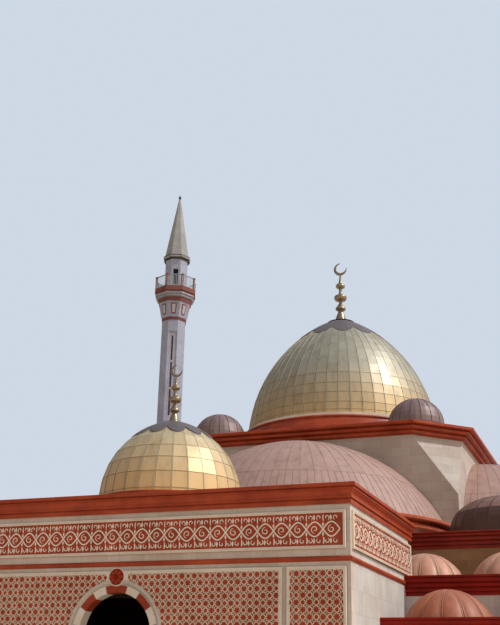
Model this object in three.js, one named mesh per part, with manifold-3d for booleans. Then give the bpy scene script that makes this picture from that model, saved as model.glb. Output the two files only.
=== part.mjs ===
// A domed mosque of stone and red stone, as a half-scale model.
// Every size below is a real one in metres. mm() turns it into millimetres of the model.
// X runs to the right seen from the front, +Y to the back, Z up. The origin is on the ground
// under the middle of the main dome.

import * as THREE from 'three';
import { mergeVertices } from 'three/addons/utils/BufferGeometryUtils.js';
import Module from 'manifold-3d';

const wasm = await Module();
wasm.setup();

// Scale of the model, and the joint left between parts that meet on a curved or cut face.
const MODEL_SCALE = 0.5;
const JOINT = 0.0006;
const ARCH_STEPS = 8;

// Cutting shapes reach past the walls, and from below to above the whole building.
const PAST = 1;
const BELOW = -1;
const ABOVE = 60;

// Entrance block, which stands in front of the hall.
const ENTRANCE = {
  front: -36.5,
  halfWidth: 10.57,
  depth: 11.46,
  wall: 0.5,
  wallTop: 8.98,
  corniceTop: 9.84,
  corniceReach: 0.3,
  roofTop: 9.5,
  roofThickness: 0.3,
  rearDoorways: [-5.6, 0, 5.6],
  rearSpring: 3,
};
const FRIEZE = { bottom: 7.17, top: 8.75, inset: 0.17, thickness: 0.1, proud: 0.05 };
const STRING_COURSE = { bottom: 6.77, top: 6.9, reach: 0.07 };
const SCREEN = { bottom: 1.2, top: 6.48, centreHalf: 7.65, sideFrom: 7.85, sideTo: 10.4, sunk: 0.1 };

// Portal: a round arch of wedge stones with a hood mould and a round boss over the crown.
const PORTAL = { spring: 3.82, open: 1.74, hood: 2.31, proud: 0.08 };
const BOSS = { height: 6.21, radius: 0.37, proud: 0.16 };
const FRONT_DOME = { y: -31.57, radius: 3.57, offset: 0.6, spring: 10.32, top: 14.38, shell: 0.18 };
const FRONT_DRUM = { inner: 3.3, skirt: 3.85, skirtTop: 10, neck: 3.65, top: 10.3, roofHole: 3.1 };

// Porch wings, one storey high, beside the entrance block.
const PORCH = {
  front: -31.6,
  halfWidth: 21.6,
  wall: 0.4,
  wallTop: 3.9,
  corniceTop: 4.78,
  corniceReach: 0.28,
  roofBottom: 4.1,
  roofTop: 4.4,
  archOpen: 1.9,
  archSpring: 1.6,
  endArchOpen: 1.5,
};
const PORCH_DOME = { y: -28.95, at: [13.07, 18.7], radius: 2.22, spring: 4.0, shell: 0.15 };

// Aisle in front of the hall, one row of ribbed domes.
const AISLE = {
  front: -26.45,
  halfWidth: 22.3,
  wall: 0.4,
  wallTop: 6.16,
  corniceTop: 7.11,
  corniceReach: 0.3,
  roofBottom: 6.3,
  roofTop: 6.6,
  archOpen: 1.4,
  archSpring: 2.2,
};
const AISLE_DOME = { y: -22.885, pitch: 4.36, count: 10, radius: 2.15, spring: 6.5, shell: 0.15 };

// Prayer hall body.
const HALL = {
  halfWidth: 22.3,
  halfDepth: 20.73,
  wall: 0.5,
  wallTop: 9.15,
  corniceTop: 10.05,
  corniceReach: 0.45,
  roofBottom: 9.65,
  archOpen: 2.2,
  archSpring: 3.0,
  passages: [-13.08, -6.54, 0, 6.54, 13.08],
};
const BAY_PANEL = {
  rear: [-16.5, -11, -5.5, 5.5, 11, 16.5],
  side: [-16.5, -11, -5.5, 5.5, 11],
  halfWidth: 2.2,
  bottom: 1.2,
  top: 6.48,
  sunk: 0.1,
};

// Square base of the main dome: its four top corners are cut away to a chamfered octagon.
const BASE = {
  half: 10.85,
  flat: 7.91,
  facetBottom: 13.99,
  wallTop: 18.19,
  corniceTop: 19.02,
  corniceReach: 0.87,
  innerHalf: 9.95,
  innerFlat: 6.9,
  archOpen: 7.5,
  archSpring: 9.0,
  roofHalf: 10.6,
  roofTop: 19.27,
};
const SMALL_DOME = { at: 7.6, radius: 2.0, spring: 19.55, shell: 0.15, kerb: 0.06 };
const SEMI_DOME = {
  drum: 10,
  drumInner: 9.4,
  corniceBottom: 11.1,
  corniceTop: 11.8,
  corniceReach: 0.77,
  radius: 11.26,
  centre: 6.72,
  shell: 0.3,
  hole: 8.9,
};

// Low domes on the corners of the hall roof. Their outline is a rounded box of this power.
const CORNER_DOME = { at: 14.65, radius: 3.75, rise: 2.4, spring: 10.5, power: 2.5, shell: 0.15, kerb: 0.06 };

// Crescent of the main finial, with its spans in radians from the closed side.
const CRESCENT = {
  height: 4.89,
  outer: 0.56,
  inner: 0.46,
  shift: 0.13,
  opening: 50.4,
  outerSpan: 2.35,
  innerSpan: 2.2,
  thickness: 0.12,
};
const DRUM = { skirt: 8.5, skirtTop: 19.95, neck: 7.95, neckTop: 20.85, fillet: 7.8, top: 21.1, inner: 7.2 };
const MAIN_DOME = { radius: 7.65, offset: 4.12, spring: 20.25, top: 31.03, shell: 0.25 };

// Minarets at the back corners: octagonal, with an angle on each axis of the building.
const MINARET = {
  x: 24.1,
  y: 17.34,
  pedestalHalf: 1.8,
  pedestalTop: 10.05,
  shaft: 1.37,
  wall: 0.33,
  doorHalf: 0.45,
  doorSpring: 1.9,
};
const SLIT = { width: 0.25, bottoms: [28.92, 32.03, 35.09], tops: [31.79, 34.85, 37.9] };

// Balcony of a minaret: radii of its eight corners, and heights, from the shaft up.
const BALCONY = {
  bottom: 39.74,
  ring: 1.42,
  flareBottom: 40.07,
  flareFrom: 1.46,
  flareTop: 41.85,
  flareTo: 1.82,
  redBandTop: 42.26,
  redBand: [1.91, 1.97],
  whiteBandTop: 42.89,
  whiteBand: [2.14, 2.28],
  slabTop: 43.47,
  slab: 2.4,
  railTop: 44.87,
  rail: [2.24, 2.32],
};
const TURRET = { inner: 1.04, outer: 1.31, top: 47.08, doorHalf: 0.28, doorTop: 45.6 };
const SPIRE = {
  eave: [1.48, 1.6],
  eaveTop: 47.55,
  lip: 0.15,
  foot: 1.4,
  stem: 0.12,
  stemBottom: 55.1,
  tip: 55.7,
};

// The whole building stands on one floor plate, flush with its outer walls.
const FLOOR_TOP = 0.15;

const FINISH = {
  stone: { color: 0xcfc4b2, roughness: 0.85, metalness: 0 },
  redStone: { color: 0x96402a, roughness: 0.75, metalness: 0 },
  gold: { color: 0xb89b5e, roughness: 0.32, metalness: 0.85 },
  pinkMetal: { color: 0xb08a7c, roughness: 0.55, metalness: 0.2 },
  brownMetal: { color: 0x6b4740, roughness: 0.5, metalness: 0.3 },
  lead: { color: 0xa3a6a2, roughness: 0.6, metalness: 0.3 },
  screen: { color: 0xb5563c, roughness: 0.8, metalness: 0 },
};

const model = new THREE.Group();

function mm(metres) {
  return Math.round(metres * 10000) * (MODEL_SCALE / 10);
}

// Primitives, each a closed geometry in its place.

function box(x0, x1, y0, y1, z0, z1) {
  const geometry = new THREE.BoxGeometry(mm(x1) - mm(x0), mm(y1) - mm(y0), mm(z1) - mm(z0));
  geometry.translate((mm(x0) + mm(x1)) / 2, (mm(y0) + mm(y1)) / 2, (mm(z0) + mm(z1)) / 2);
  return geometry;
}

function lathe(profile, segments, turn = 0) {
  const points = profile.map(([r, z]) => new THREE.Vector2(mm(r), mm(z)));
  const geometry = new THREE.LatheGeometry(points, segments, turn);
  geometry.rotateX(Math.PI / 2);
  return geometry;
}

// A round plate about the Z axis.
function disc(radius, z0, z1, segments) {
  return lathe([[0, z0], [radius, z0], [radius, z1], [0, z1]], segments);
}

function pathOf(outline) {
  return outline.map(([a, b]) => new THREE.Vector2(mm(a), mm(b)));
}

// A level plate with the outline given from above.
function plate(outline, z0, z1) {
  const shape = new THREE.Shape(pathOf(outline));
  const geometry = new THREE.ExtrudeGeometry(shape, { depth: mm(z1) - mm(z0), bevelEnabled: false });
  geometry.translate(0, 0, mm(z0));
  return geometry;
}

// An upright shape drawn in X and Z, as thick as y0 to y1.
function upright(shape, y0, y1, curveSegments) {
  const options = { depth: mm(y1) - mm(y0), bevelEnabled: false, curveSegments };
  const geometry = new THREE.ExtrudeGeometry(shape, options);
  geometry.rotateX(Math.PI / 2);
  geometry.translate(0, mm(y1), 0);
  return geometry;
}

// Joining and cutting.

function solid(geometry) {
  const bare = geometry.clone();
  bare.deleteAttribute('normal');
  bare.deleteAttribute('uv');
  const merged = mergeVertices(bare, 0.001);
  const index = merged.index.array;
  const triangles = [];
  for (let i = 0; i < index.length; i += 3) {
    const [a, b, c] = [index[i], index[i + 1], index[i + 2]];
    if (a !== b && b !== c && c !== a) triangles.push(a, b, c);
  }
  const vertProperties = new Float32Array(merged.attributes.position.array);
  const triVerts = new Uint32Array(triangles);
  return new wasm.Manifold(new wasm.Mesh({ numProp: 3, vertProperties, triVerts }));
}

function join(geometries) {
  return geometries.map(solid).reduce((whole, piece) => whole.add(piece));
}

function cut(body, geometries) {
  return geometries.map(solid).reduce((whole, piece) => whole.subtract(piece), body);
}

function geometryOf(body) {
  const mesh = body.getMesh();
  const geometry = new THREE.BufferGeometry();
  geometry.setAttribute('position', new THREE.BufferAttribute(new Float32Array(mesh.vertProperties), 3));
  geometry.setIndex(new THREE.BufferAttribute(new Uint32Array(mesh.triVerts), 1));
  geometry.computeVertexNormals();
  return geometry;
}

function add(name, finish, body) {
  const geometry = body.isBufferGeometry ? geometryOf(solid(body)) : geometryOf(body);
  const mesh = new THREE.Mesh(geometry, new THREE.MeshStandardMaterial(FINISH[finish]));
  mesh.name = name;
  model.add(mesh);
  return mesh;
}

// The same piece on the other side of the middle plane.
function mirrored(body) {
  return body.mirror([1, 0, 0]);
}

// Outlines.

function rectangle(x0, x1, y0, y1) {
  return [[x0, y0], [x1, y0], [x1, y1], [x0, y1]];
}

function octagonOutline(half, flat) {
  return [
    [-flat, -half], [flat, -half], [half, -flat], [half, flat],
    [flat, half], [-flat, half], [-half, flat], [-half, -flat],
  ];
}

// A moulding in three steps, each reaching further out than the one below it.
// outlineAt(reach) gives its outer outline, and hollow is what it runs round.
function steppedCornice(outlineAt, reach, z0, z1, hollow) {
  const steps = 3;
  const rise = (z1 - z0) / steps;
  const courses = [];
  for (let i = 0; i < steps; i += 1) {
    const bottom = z0 + rise * i;
    const top = i === steps - 1 ? z1 : z0 + rise * (i + 1);
    courses.push(plate(outlineAt((reach * (i + 1)) / steps), bottom, top));
  }
  return cut(join(courses), [hollow]);
}

// A round-headed opening across a wall, from the ground up.
function archShape(x, halfWidth, spring, bottom) {
  const shape = new THREE.Shape();
  shape.moveTo(mm(x - halfWidth), mm(bottom));
  shape.lineTo(mm(x + halfWidth), mm(bottom));
  shape.lineTo(mm(x + halfWidth), mm(spring));
  shape.absarc(mm(x), mm(spring), mm(halfWidth), 0, Math.PI, false);
  shape.closePath();
  return shape;
}

function archAlongY(x, halfWidth, spring, y0, y1, bottom = BELOW) {
  return upright(archShape(x, halfWidth, spring, bottom), y0, y1, ARCH_STEPS);
}

function archAlongX(y, halfWidth, spring, x0, x1) {
  const geometry = archAlongY(y, halfWidth, spring, -x1, -x0);
  geometry.rotateZ(Math.PI / 2);
  return geometry;
}

// Shell of a dome. Its outside is an arc whose centre lies past the axis by offset,
// and it closes at top or, with no top given, at its apex.
function domeProfile({ radius, offset = 0, spring, shell, top }, base, outerSteps, innerSteps) {
  const arcRadius = radius + offset;
  const apex = Math.sqrt(arcRadius ** 2 - offset ** 2);
  const outerTop = top === undefined ? apex : top - spring;
  const innerArc = arcRadius - shell;
  const innerApex = Math.sqrt(innerArc ** 2 - offset ** 2);
  const radiusAt = (arc, rise) => Math.max(Math.sqrt(Math.max(arc ** 2 - rise ** 2, 0)) - offset, 0);
  const angleOf = (arc, rise) => Math.asin(Math.min(rise / arc, 1));
  const points = [];
  for (let i = 0; i <= innerSteps; i += 1) {
    const share = 1 - i / innerSteps;
    const from = angleOf(innerArc, base - spring);
    const angle = from + (angleOf(innerArc, innerApex) - from) * share;
    const rise = innerArc * Math.sin(angle);
    points.push([i === 0 ? 0 : radiusAt(innerArc, rise), spring + rise]);
  }
  points[points.length - 1][1] = base;
  for (let i = 0; i <= outerSteps; i += 1) {
    const share = i / outerSteps;
    const from = angleOf(arcRadius, base - spring);
    const angle = from + (angleOf(arcRadius, outerTop) - from) * share;
    const rise = arcRadius * Math.sin(angle);
    const last = i === outerSteps && top === undefined;
    points.push([last ? 0 : radiusAt(arcRadius, rise), i === 0 ? base : spring + rise]);
  }
  if (top !== undefined) {
    points[points.length - 1][1] = top;
    points.push([0, top]);
  }
  return points;
}

// The plate with a hole at x and y, and a shell over it.
function domeOnPlate(body, profile, holeRadius, x, y, top, segments) {
  const ledge = 0.05;
  const hole = disc(holeRadius - ledge, BELOW, top + ledge, segments).translate(mm(x), mm(y), 0);
  const shell = lathe(profile, segments).translate(mm(x), mm(y), 0);
  return body.subtract(solid(hole)).add(solid(shell));
}

// A roof plate with a row of ribbed domes, open underneath.
function roofWithDomes(plateGeometry, dome, places, roofTop, segments, outerSteps, innerSteps) {
  const outerRadius = Math.sqrt(dome.radius ** 2 - Math.max(roofTop - dome.spring, 0) ** 2);
  const profile = domeProfile(dome, roofTop, outerSteps, innerSteps);
  let body = solid(plateGeometry);
  for (const [x, y] of places) {
    body = domeOnPlate(body, profile, outerRadius - dome.shell, x, y, roofTop, segments);
  }
  return body;
}

// Entrance block.

const entranceBack = ENTRANCE.front + ENTRANCE.depth;
const entranceInner = ENTRANCE.halfWidth - ENTRANCE.wall;

function makeEntranceWalls() {
  const { front, halfWidth, wall, wallTop } = ENTRANCE;
  const sunk = front + SCREEN.sunk;
  const outside = front - PAST;
  const friezeIn = front + FRIEZE.thickness - FRIEZE.proud;
  const friezeHalf = halfWidth - FRIEZE.inset;
  const frontWall = cut(solid(box(-halfWidth, halfWidth, front, front + wall, FLOOR_TOP, wallTop)), [
    archAlongY(0, PORTAL.hood, PORTAL.spring, outside, front + wall + PAST),
    box(-SCREEN.centreHalf, SCREEN.centreHalf, outside, sunk, SCREEN.bottom, SCREEN.top),
    box(-SCREEN.sideTo, -SCREEN.sideFrom, outside, sunk, SCREEN.bottom, SCREEN.top),
    box(SCREEN.sideFrom, SCREEN.sideTo, outside, sunk, SCREEN.bottom, SCREEN.top),
    box(-friezeHalf, friezeHalf, outside, friezeIn, FRIEZE.bottom, FRIEZE.top),
  ]);
  add('entrance_front_wall', 'stone', frontWall);

  const friezeSideIn = halfWidth - FRIEZE.thickness + FRIEZE.proud;
  const plainSide = box(entranceInner, halfWidth, front + wall, entranceBack - wall, FLOOR_TOP, wallTop);
  const sideWall = cut(solid(plainSide), [
    box(friezeSideIn, halfWidth + PAST, front, entranceBack, FRIEZE.bottom, FRIEZE.top),
  ]);
  add('entrance_right_wall', 'stone', sideWall);
  add('entrance_left_wall', 'stone', mirrored(sideWall));

  const backWall = box(-halfWidth, halfWidth, entranceBack - wall, entranceBack, FLOOR_TOP, wallTop);
  const doorways = ENTRANCE.rearDoorways.map((x) => (
    archAlongY(x, PORTAL.open, ENTRANCE.rearSpring, entranceBack - wall - PAST, entranceBack + PAST)
  ));
  add('entrance_rear_wall', 'stone', cut(solid(backWall), doorways));
}

function makeEntranceBands() {
  const { front, halfWidth, wall, wallTop, corniceTop, corniceReach, roofTop, roofThickness } = ENTRANCE;
  const outlineAt = (reach) => (
    rectangle(-halfWidth - reach, halfWidth + reach, front - reach, entranceBack + reach)
  );
  const between = (z0, z1) => box(-entranceInner, entranceInner, front + wall, entranceBack - wall, z0, z1);
  const cornice = steppedCornice(outlineAt, corniceReach, wallTop, corniceTop, between(BELOW, ABOVE));
  add('entrance_cornice', 'redStone', cornice);
  add('entrance_roof', 'stone', cut(solid(between(roofTop - roofThickness, roofTop)), [
    disc(FRONT_DRUM.roofHole, BELOW, ABOVE, 24).translate(0, mm(FRONT_DOME.y), 0),
  ]));

  const reach = STRING_COURSE.reach;
  const course = plate(
    rectangle(-halfWidth - reach, halfWidth + reach, front - reach, AISLE.front - AISLE.corniceReach),
    STRING_COURSE.bottom, STRING_COURSE.top,
  );
  const walls = box(-halfWidth, halfWidth, front, 0, BELOW, ABOVE);
  add('entrance_string_course', 'redStone', cut(solid(course), [walls]));
}

function makeFriezes() {
  const { front, halfWidth } = ENTRANCE;
  const half = halfWidth - FRIEZE.inset;
  const frontIn = front + FRIEZE.thickness - FRIEZE.proud;
  const frontOut = front - FRIEZE.proud;
  add('frieze_panel_front', 'redStone', box(-half, half, frontOut, frontIn, FRIEZE.bottom, FRIEZE.top));
  const sideIn = halfWidth - FRIEZE.thickness + FRIEZE.proud;
  const from = front + ENTRANCE.wall;
  const to = entranceBack - ENTRANCE.wall;
  const side = solid(box(sideIn, halfWidth + FRIEZE.proud, from, to, FRIEZE.bottom, FRIEZE.top));
  add('frieze_panel_right', 'redStone', side);
  add('frieze_panel_left', 'redStone', mirrored(side));
}

function makeScreens() {
  const { front } = ENTRANCE;
  const y0 = front - FRIEZE.proud;
  const y1 = front + SCREEN.sunk;
  const clear = PORTAL.hood + JOINT;
  const inner = cut(solid(box(0, SCREEN.centreHalf, y0, y1, SCREEN.bottom, SCREEN.top)), [
    archAlongY(0, clear, PORTAL.spring, y0 - PAST, y1 + PAST),
    bossDisc(BOSS.radius + JOINT, y0 - PAST, y1 + PAST),
  ]);
  add('screen_inner_right', 'screen', inner);
  add('screen_inner_left', 'screen', mirrored(inner));
  const side = solid(box(SCREEN.sideFrom, SCREEN.sideTo, y0, y1, SCREEN.bottom, SCREEN.top));
  add('screen_outer_right', 'screen', side);
  add('screen_outer_left', 'screen', mirrored(side));
}

function bossDisc(radius, y0, y1) {
  const shape = new THREE.Shape();
  shape.absarc(0, mm(BOSS.height), mm(radius), 0, 2 * Math.PI, false);
  return upright(shape, y0, y1, 10);
}

function makePortal() {
  const { front, wall } = ENTRANCE;
  const y0 = front - PORTAL.proud;
  const y1 = front + wall;
  const ring = cut(solid(archAlongY(0, PORTAL.hood - JOINT, PORTAL.spring, y0, y1, FLOOR_TOP)), [
    archAlongY(0, PORTAL.open, PORTAL.spring, y0 - PAST, y1 + PAST),
  ]);
  const boss = bossDisc(BOSS.radius, front - BOSS.proud, front - JOINT);
  add('portal_arch', 'redStone', ring.add(solid(boss)));
}

function makeFrontDome() {
  const { inner, skirt, skirtTop, neck, top } = FRONT_DRUM;
  const drum = lathe([
    [inner, ENTRANCE.roofTop], [skirt, ENTRANCE.roofTop], [skirt, skirtTop], [neck, top], [inner, top],
    [inner, ENTRANCE.roofTop],
  ], 24);
  drum.translate(0, mm(FRONT_DOME.y), 0);
  add('front_dome_drum', 'redStone', drum);
  const shell = lathe(domeProfile(FRONT_DOME, top, 5, 3), 24);
  shell.translate(0, mm(FRONT_DOME.y), 0);
  add('front_dome', 'gold', shell);
}

// Finial: a flared foot, a pear, a flat ball and a small ball on one stem, and a crescent.
function finial(base, scale, y) {
  const radii = [0.57, 0.5, 0.16, 0.16, 0.42, 0.12, 0.12, 0.54, 0.12, 0.1, 0.4, 0.1, 0.06, 0.06];
  const heights = [0, 0.37, 0.9, 0.98, 1.3, 1.75, 1.95, 2.27, 2.59, 3.05, 3.34, 3.6, 3.8, 4.36];
  const profile = [[0, base]];
  radii.forEach((r, i) => profile.push([r * scale, base + heights[i] * scale]));
  profile.push([0, base + heights.at(-1) * scale]);
  const stem = lathe(profile, 8);
  return join([stem, crescent(base + CRESCENT.height * scale, scale)]).translate([0, mm(y), 0]);
}

// A crescent between two arcs, open towards the upper right.
function crescent(centre, scale) {
  const { outer, inner, shift, opening, outerSpan, innerSpan, thickness } = CRESCENT;
  const open = THREE.MathUtils.degToRad(opening);
  const closed = open + Math.PI;
  const innerX = shift * Math.cos(open) * scale;
  const innerZ = centre + shift * Math.sin(open) * scale;
  const shape = new THREE.Shape();
  shape.absarc(0, mm(centre), mm(outer * scale), closed - outerSpan, closed + outerSpan, false);
  shape.absarc(mm(innerX), mm(innerZ), mm(inner * scale), closed + innerSpan, closed - innerSpan, true);
  shape.closePath();
  const half = (thickness / 2) * scale;
  return upright(shape, -half, half, 8);
}

// Porch wings and aisle, made on the right and mirrored.

function sideCornice(tier, startX, backY) {
  const outlineAt = (reach) => rectangle(startX, tier.halfWidth + reach, tier.front - reach, backY);
  const inner = tier.halfWidth - tier.wall;
  const hollow = box(startX - PAST, inner, tier.front + tier.wall, backY + PAST, BELOW, ABOVE);
  return steppedCornice(outlineAt, tier.corniceReach, tier.wallTop, tier.corniceTop, hollow);
}

function makePorch() {
  const { front, halfWidth, wall, wallTop, archOpen, archSpring, endArchOpen, roofBottom, roofTop } = PORCH;
  const from = ENTRANCE.halfWidth;
  const back = AISLE.front;
  const middle = (front + wall + back) / 2;
  const run = rectangle(from, halfWidth, front, back);
  const walls = cut(solid(plate(run, FLOOR_TOP, wallTop)), [
    box(from - PAST, halfWidth - wall, front + wall, back + PAST, BELOW, ABOVE),
    ...PORCH_DOME.at.map((x) => archAlongY(x, archOpen, archSpring, front - PAST, front + wall + PAST)),
    archAlongX(middle, endArchOpen, archSpring, halfWidth - wall - PAST, halfWidth + PAST),
  ]);
  add('porch_right_arcade', 'stone', walls);
  add('porch_left_arcade', 'stone', mirrored(walls));
  const cornice = sideCornice(PORCH, from, back);
  add('porch_right_cornice', 'redStone', cornice);
  add('porch_left_cornice', 'redStone', mirrored(cornice));
  const roofPlate = box(from, halfWidth - wall, front + wall, back, roofBottom, roofTop);
  const places = PORCH_DOME.at.map((x) => [x, PORCH_DOME.y]);
  const roof = roofWithDomes(roofPlate, PORCH_DOME, places, roofTop, 14, 3, 2);
  add('porch_right_roof', 'pinkMetal', roof);
  add('porch_left_roof', 'pinkMetal', mirrored(roof));
}

function makeAisle() {
  const { front, halfWidth, wall, wallTop, archOpen, archSpring, roofBottom, roofTop } = AISLE;
  const from = ENTRANCE.halfWidth;
  const back = -HALL.halfDepth;
  const walls = cut(solid(plate(rectangle(from, halfWidth, front, back), FLOOR_TOP, wallTop)), [
    box(from - PAST, halfWidth - wall, front + wall, back + PAST, BELOW, ABOVE),
    ...PORCH_DOME.at.map((x) => archAlongY(x, archOpen, archSpring, front - PAST, front + wall + PAST)),
  ]);
  add('aisle_right_wall', 'stone', walls);
  add('aisle_left_wall', 'stone', mirrored(walls));
  const cornice = sideCornice(AISLE, from, back);
  add('aisle_right_cornice', 'redStone', cornice);
  add('aisle_left_cornice', 'redStone', mirrored(cornice));

  const inner = halfWidth - wall;
  const outline = [
    [-inner, front + wall], [-from, front + wall], [-from, entranceBack], [from, entranceBack],
    [from, front + wall], [inner, front + wall], [inner, back], [-inner, back],
  ];
  const places = [];
  for (let i = 0; i < AISLE_DOME.count; i += 1) {
    places.push([(i - (AISLE_DOME.count - 1) / 2) * AISLE_DOME.pitch, AISLE_DOME.y]);
  }
  const roof = roofWithDomes(plate(outline, roofBottom, roofTop), AISLE_DOME, places, roofTop, 12, 3, 2);
  add('aisle_roof', 'pinkMetal', roof);
}

// Prayer hall.

const hallInnerX = HALL.halfWidth - HALL.wall;
const hallInnerY = HALL.halfDepth - HALL.wall;

function makeHallWalls() {
  const { halfWidth, halfDepth, wall, wallTop, archOpen, archSpring, passages } = HALL;
  add('hall_front_wall', 'stone', cut(
    solid(box(-halfWidth, halfWidth, -halfDepth, -hallInnerY, FLOOR_TOP, wallTop)),
    passages.map((x) => archAlongY(x, archOpen, archSpring, -halfDepth - PAST, -halfDepth + wall + PAST)),
  ));

  const { halfWidth: panelHalf, bottom, top, sunk } = BAY_PANEL;
  const rearCuts = BAY_PANEL.rear.map((x) => (
    box(x - panelHalf, x + panelHalf, halfDepth - sunk, halfDepth + PAST, bottom, top)
  ));
  rearCuts.push(archAlongY(0, PORTAL.open, PORTAL.spring, halfDepth - wall - PAST, halfDepth + PAST));
  add('hall_rear_wall', 'stone', cut(
    solid(box(-halfWidth, halfWidth, hallInnerY, halfDepth, FLOOR_TOP, wallTop)), rearCuts,
  ));

  const sideCuts = BAY_PANEL.side.map((y) => (
    box(halfWidth - sunk, halfWidth + PAST, y - panelHalf, y + panelHalf, bottom, top)
  ));
  sideCuts.push(archAlongX(0, PORTAL.open, PORTAL.spring, halfWidth - wall - PAST, halfWidth + PAST));
  const plainSide = box(hallInnerX, halfWidth, -hallInnerY, hallInnerY, FLOOR_TOP, wallTop);
  const side = cut(solid(plainSide), sideCuts);
  add('hall_right_wall', 'stone', side);
  add('hall_left_wall', 'stone', mirrored(side));
}

function makeHallTop() {
  const { halfWidth, halfDepth, wallTop, corniceTop, corniceReach, roofBottom } = HALL;
  const outlineAt = (reach) => (
    rectangle(-halfWidth - reach, halfWidth + reach, -halfDepth - reach, halfDepth + reach)
  );
  const inside = box(-hallInnerX, hallInnerX, -hallInnerY, hallInnerY, BELOW, ABOVE);
  const pedestals = [-1, 1].map((side) => pedestalBox(side, JOINT));
  add('hall_cornice', 'redStone', cut(
    steppedCornice(outlineAt, corniceReach, wallTop, corniceTop, inside), pedestals,
  ));
  const roof = cut(solid(box(-hallInnerX, hallInnerX, -hallInnerY, hallInnerY, roofBottom, corniceTop)), [
    box(-BASE.half - JOINT, BASE.half + JOINT, -BASE.half - JOINT, BASE.half + JOINT, BELOW, ABOVE),
    ...[[0, -1], [0, 1], [-1, 0], [1, 0]].map(([x, y]) => (
      disc(SEMI_DOME.hole, BELOW, ABOVE, 40).translate(mm(x * BASE.half), mm(y * BASE.half), 0)
    )),
  ]);
  add('hall_roof', 'stone', withCornerDomes(roof));
  add('floor_slab', 'stone', plate(floorOutline(), 0, FLOOR_TOP));
}

// The hall roof with a low dome at each corner, open underneath.
function withCornerDomes(roof) {
  const { at, radius, rise, spring, power, shell, kerb } = CORNER_DOME;
  const roofTop = HALL.corniceTop;
  const steps = 6;
  const arcOf = (reach, height) => {
    const points = [];
    for (let i = 0; i < steps; i += 1) {
      const angle = (i / steps) * (Math.PI / 2);
      points.push([reach * Math.cos(angle) ** (2 / power), spring + height * Math.sin(angle) ** (2 / power)]);
    }
    points.push([0, spring + height]);
    return points;
  };
  const inner = radius - shell;
  const ring = [[inner, roofTop], [radius + kerb, roofTop], [radius + kerb, spring]];
  const profile = [...arcOf(inner, rise - shell).reverse(), ...ring, ...arcOf(radius, rise)];
  let body = roof;
  for (const [sx, sy] of [[1, 1], [1, -1], [-1, 1], [-1, -1]]) {
    body = domeOnPlate(body, profile, inner, sx * at, sy * at, roofTop, 24);
  }
  return body;
}

// Outline of the whole building at the ground, right half first and then its mirror image.
function floorOutline() {
  const { x, y, pedestalHalf } = MINARET;
  const right = [
    [ENTRANCE.halfWidth, ENTRANCE.front], [ENTRANCE.halfWidth, PORCH.front],
    [PORCH.halfWidth, PORCH.front], [PORCH.halfWidth, AISLE.front],
    [HALL.halfWidth, AISLE.front], [HALL.halfWidth, y - pedestalHalf],
    [x + pedestalHalf, y - pedestalHalf], [x + pedestalHalf, y + pedestalHalf],
    [HALL.halfWidth, y + pedestalHalf], [HALL.halfWidth, HALL.halfDepth],
  ];
  const left = right.map(([px, py]) => [-px, py]).reverse();
  return [...right, ...left];
}

function makeSemiDomes() {
  const semi = SEMI_DOME;
  const steps = 3;
  const rise = (semi.corniceTop - semi.corniceBottom) / steps;
  const innerSteps = 3;
  const shell = domeProfile(
    { radius: semi.radius, spring: semi.centre, shell: semi.shell }, semi.corniceTop, 5, innerSteps,
  );
  const inside = shell.slice(0, innerSteps + 1);
  const outside = shell.slice(innerSteps + 1);
  const profile = [
    ...inside.slice(0, -1), [semi.drumInner, semi.corniceBottom],
    [semi.drumInner, HALL.corniceTop], [semi.drum, HALL.corniceTop],
    [semi.drum, semi.corniceBottom],
  ];
  for (let i = 0; i < steps; i += 1) {
    const r = semi.drum + (semi.corniceReach * (i + 1)) / steps;
    profile.push([r, semi.corniceBottom + rise * i], [r, semi.corniceBottom + rise * (i + 1)]);
  }
  profile[profile.length - 1][1] = semi.corniceTop;
  profile.push(...outside);
  const whole = solid(lathe(profile, 36).translate(0, mm(-BASE.half), 0));
  const across = 2 * semi.radius;
  const half = whole.subtract(solid(box(-across, across, -BASE.half - JOINT, across, BELOW, ABOVE)));
  const turns = { semi_dome_front: 0, semi_dome_right: 90, semi_dome_rear: 180, semi_dome_left: 270 };
  for (const [name, angle] of Object.entries(turns)) {
    add(name, 'pinkMetal', half.rotate([0, 0, angle]));
  }
}

// Base of the main dome.

// The corner piece cut off above a plane through three points near the corner (sx, sy).
function cornerCutter(sx, sy) {
  const { half, flat, facetBottom, wallTop } = BASE;
  const depth = half - flat;
  const slope = (wallTop - facetBottom) / depth;
  const over = 2;
  const top = wallTop + over;
  const reach = depth + over / slope;
  const low = facetBottom - 2 * PAST * slope;
  const corner = new THREE.BufferGeometry();
  const points = [
    [half + PAST, half + PAST, low],
    [half + PAST, half + PAST, top],
    [half + PAST, half - reach - PAST, top],
    [half - reach - PAST, half + PAST, top],
  ];
  const positions = points.flatMap(([x, y, z]) => [mm(x * sx), mm(y * sy), mm(z)]);
  const faces = [[0, 1, 2], [0, 3, 1], [0, 2, 3], [1, 3, 2]];
  const index = sx * sy > 0 ? faces.flat() : faces.flatMap(([a, b, c]) => [a, c, b]);
  corner.setAttribute('position', new THREE.Float32BufferAttribute(positions, 3));
  corner.setIndex(index);
  return corner;
}

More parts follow.
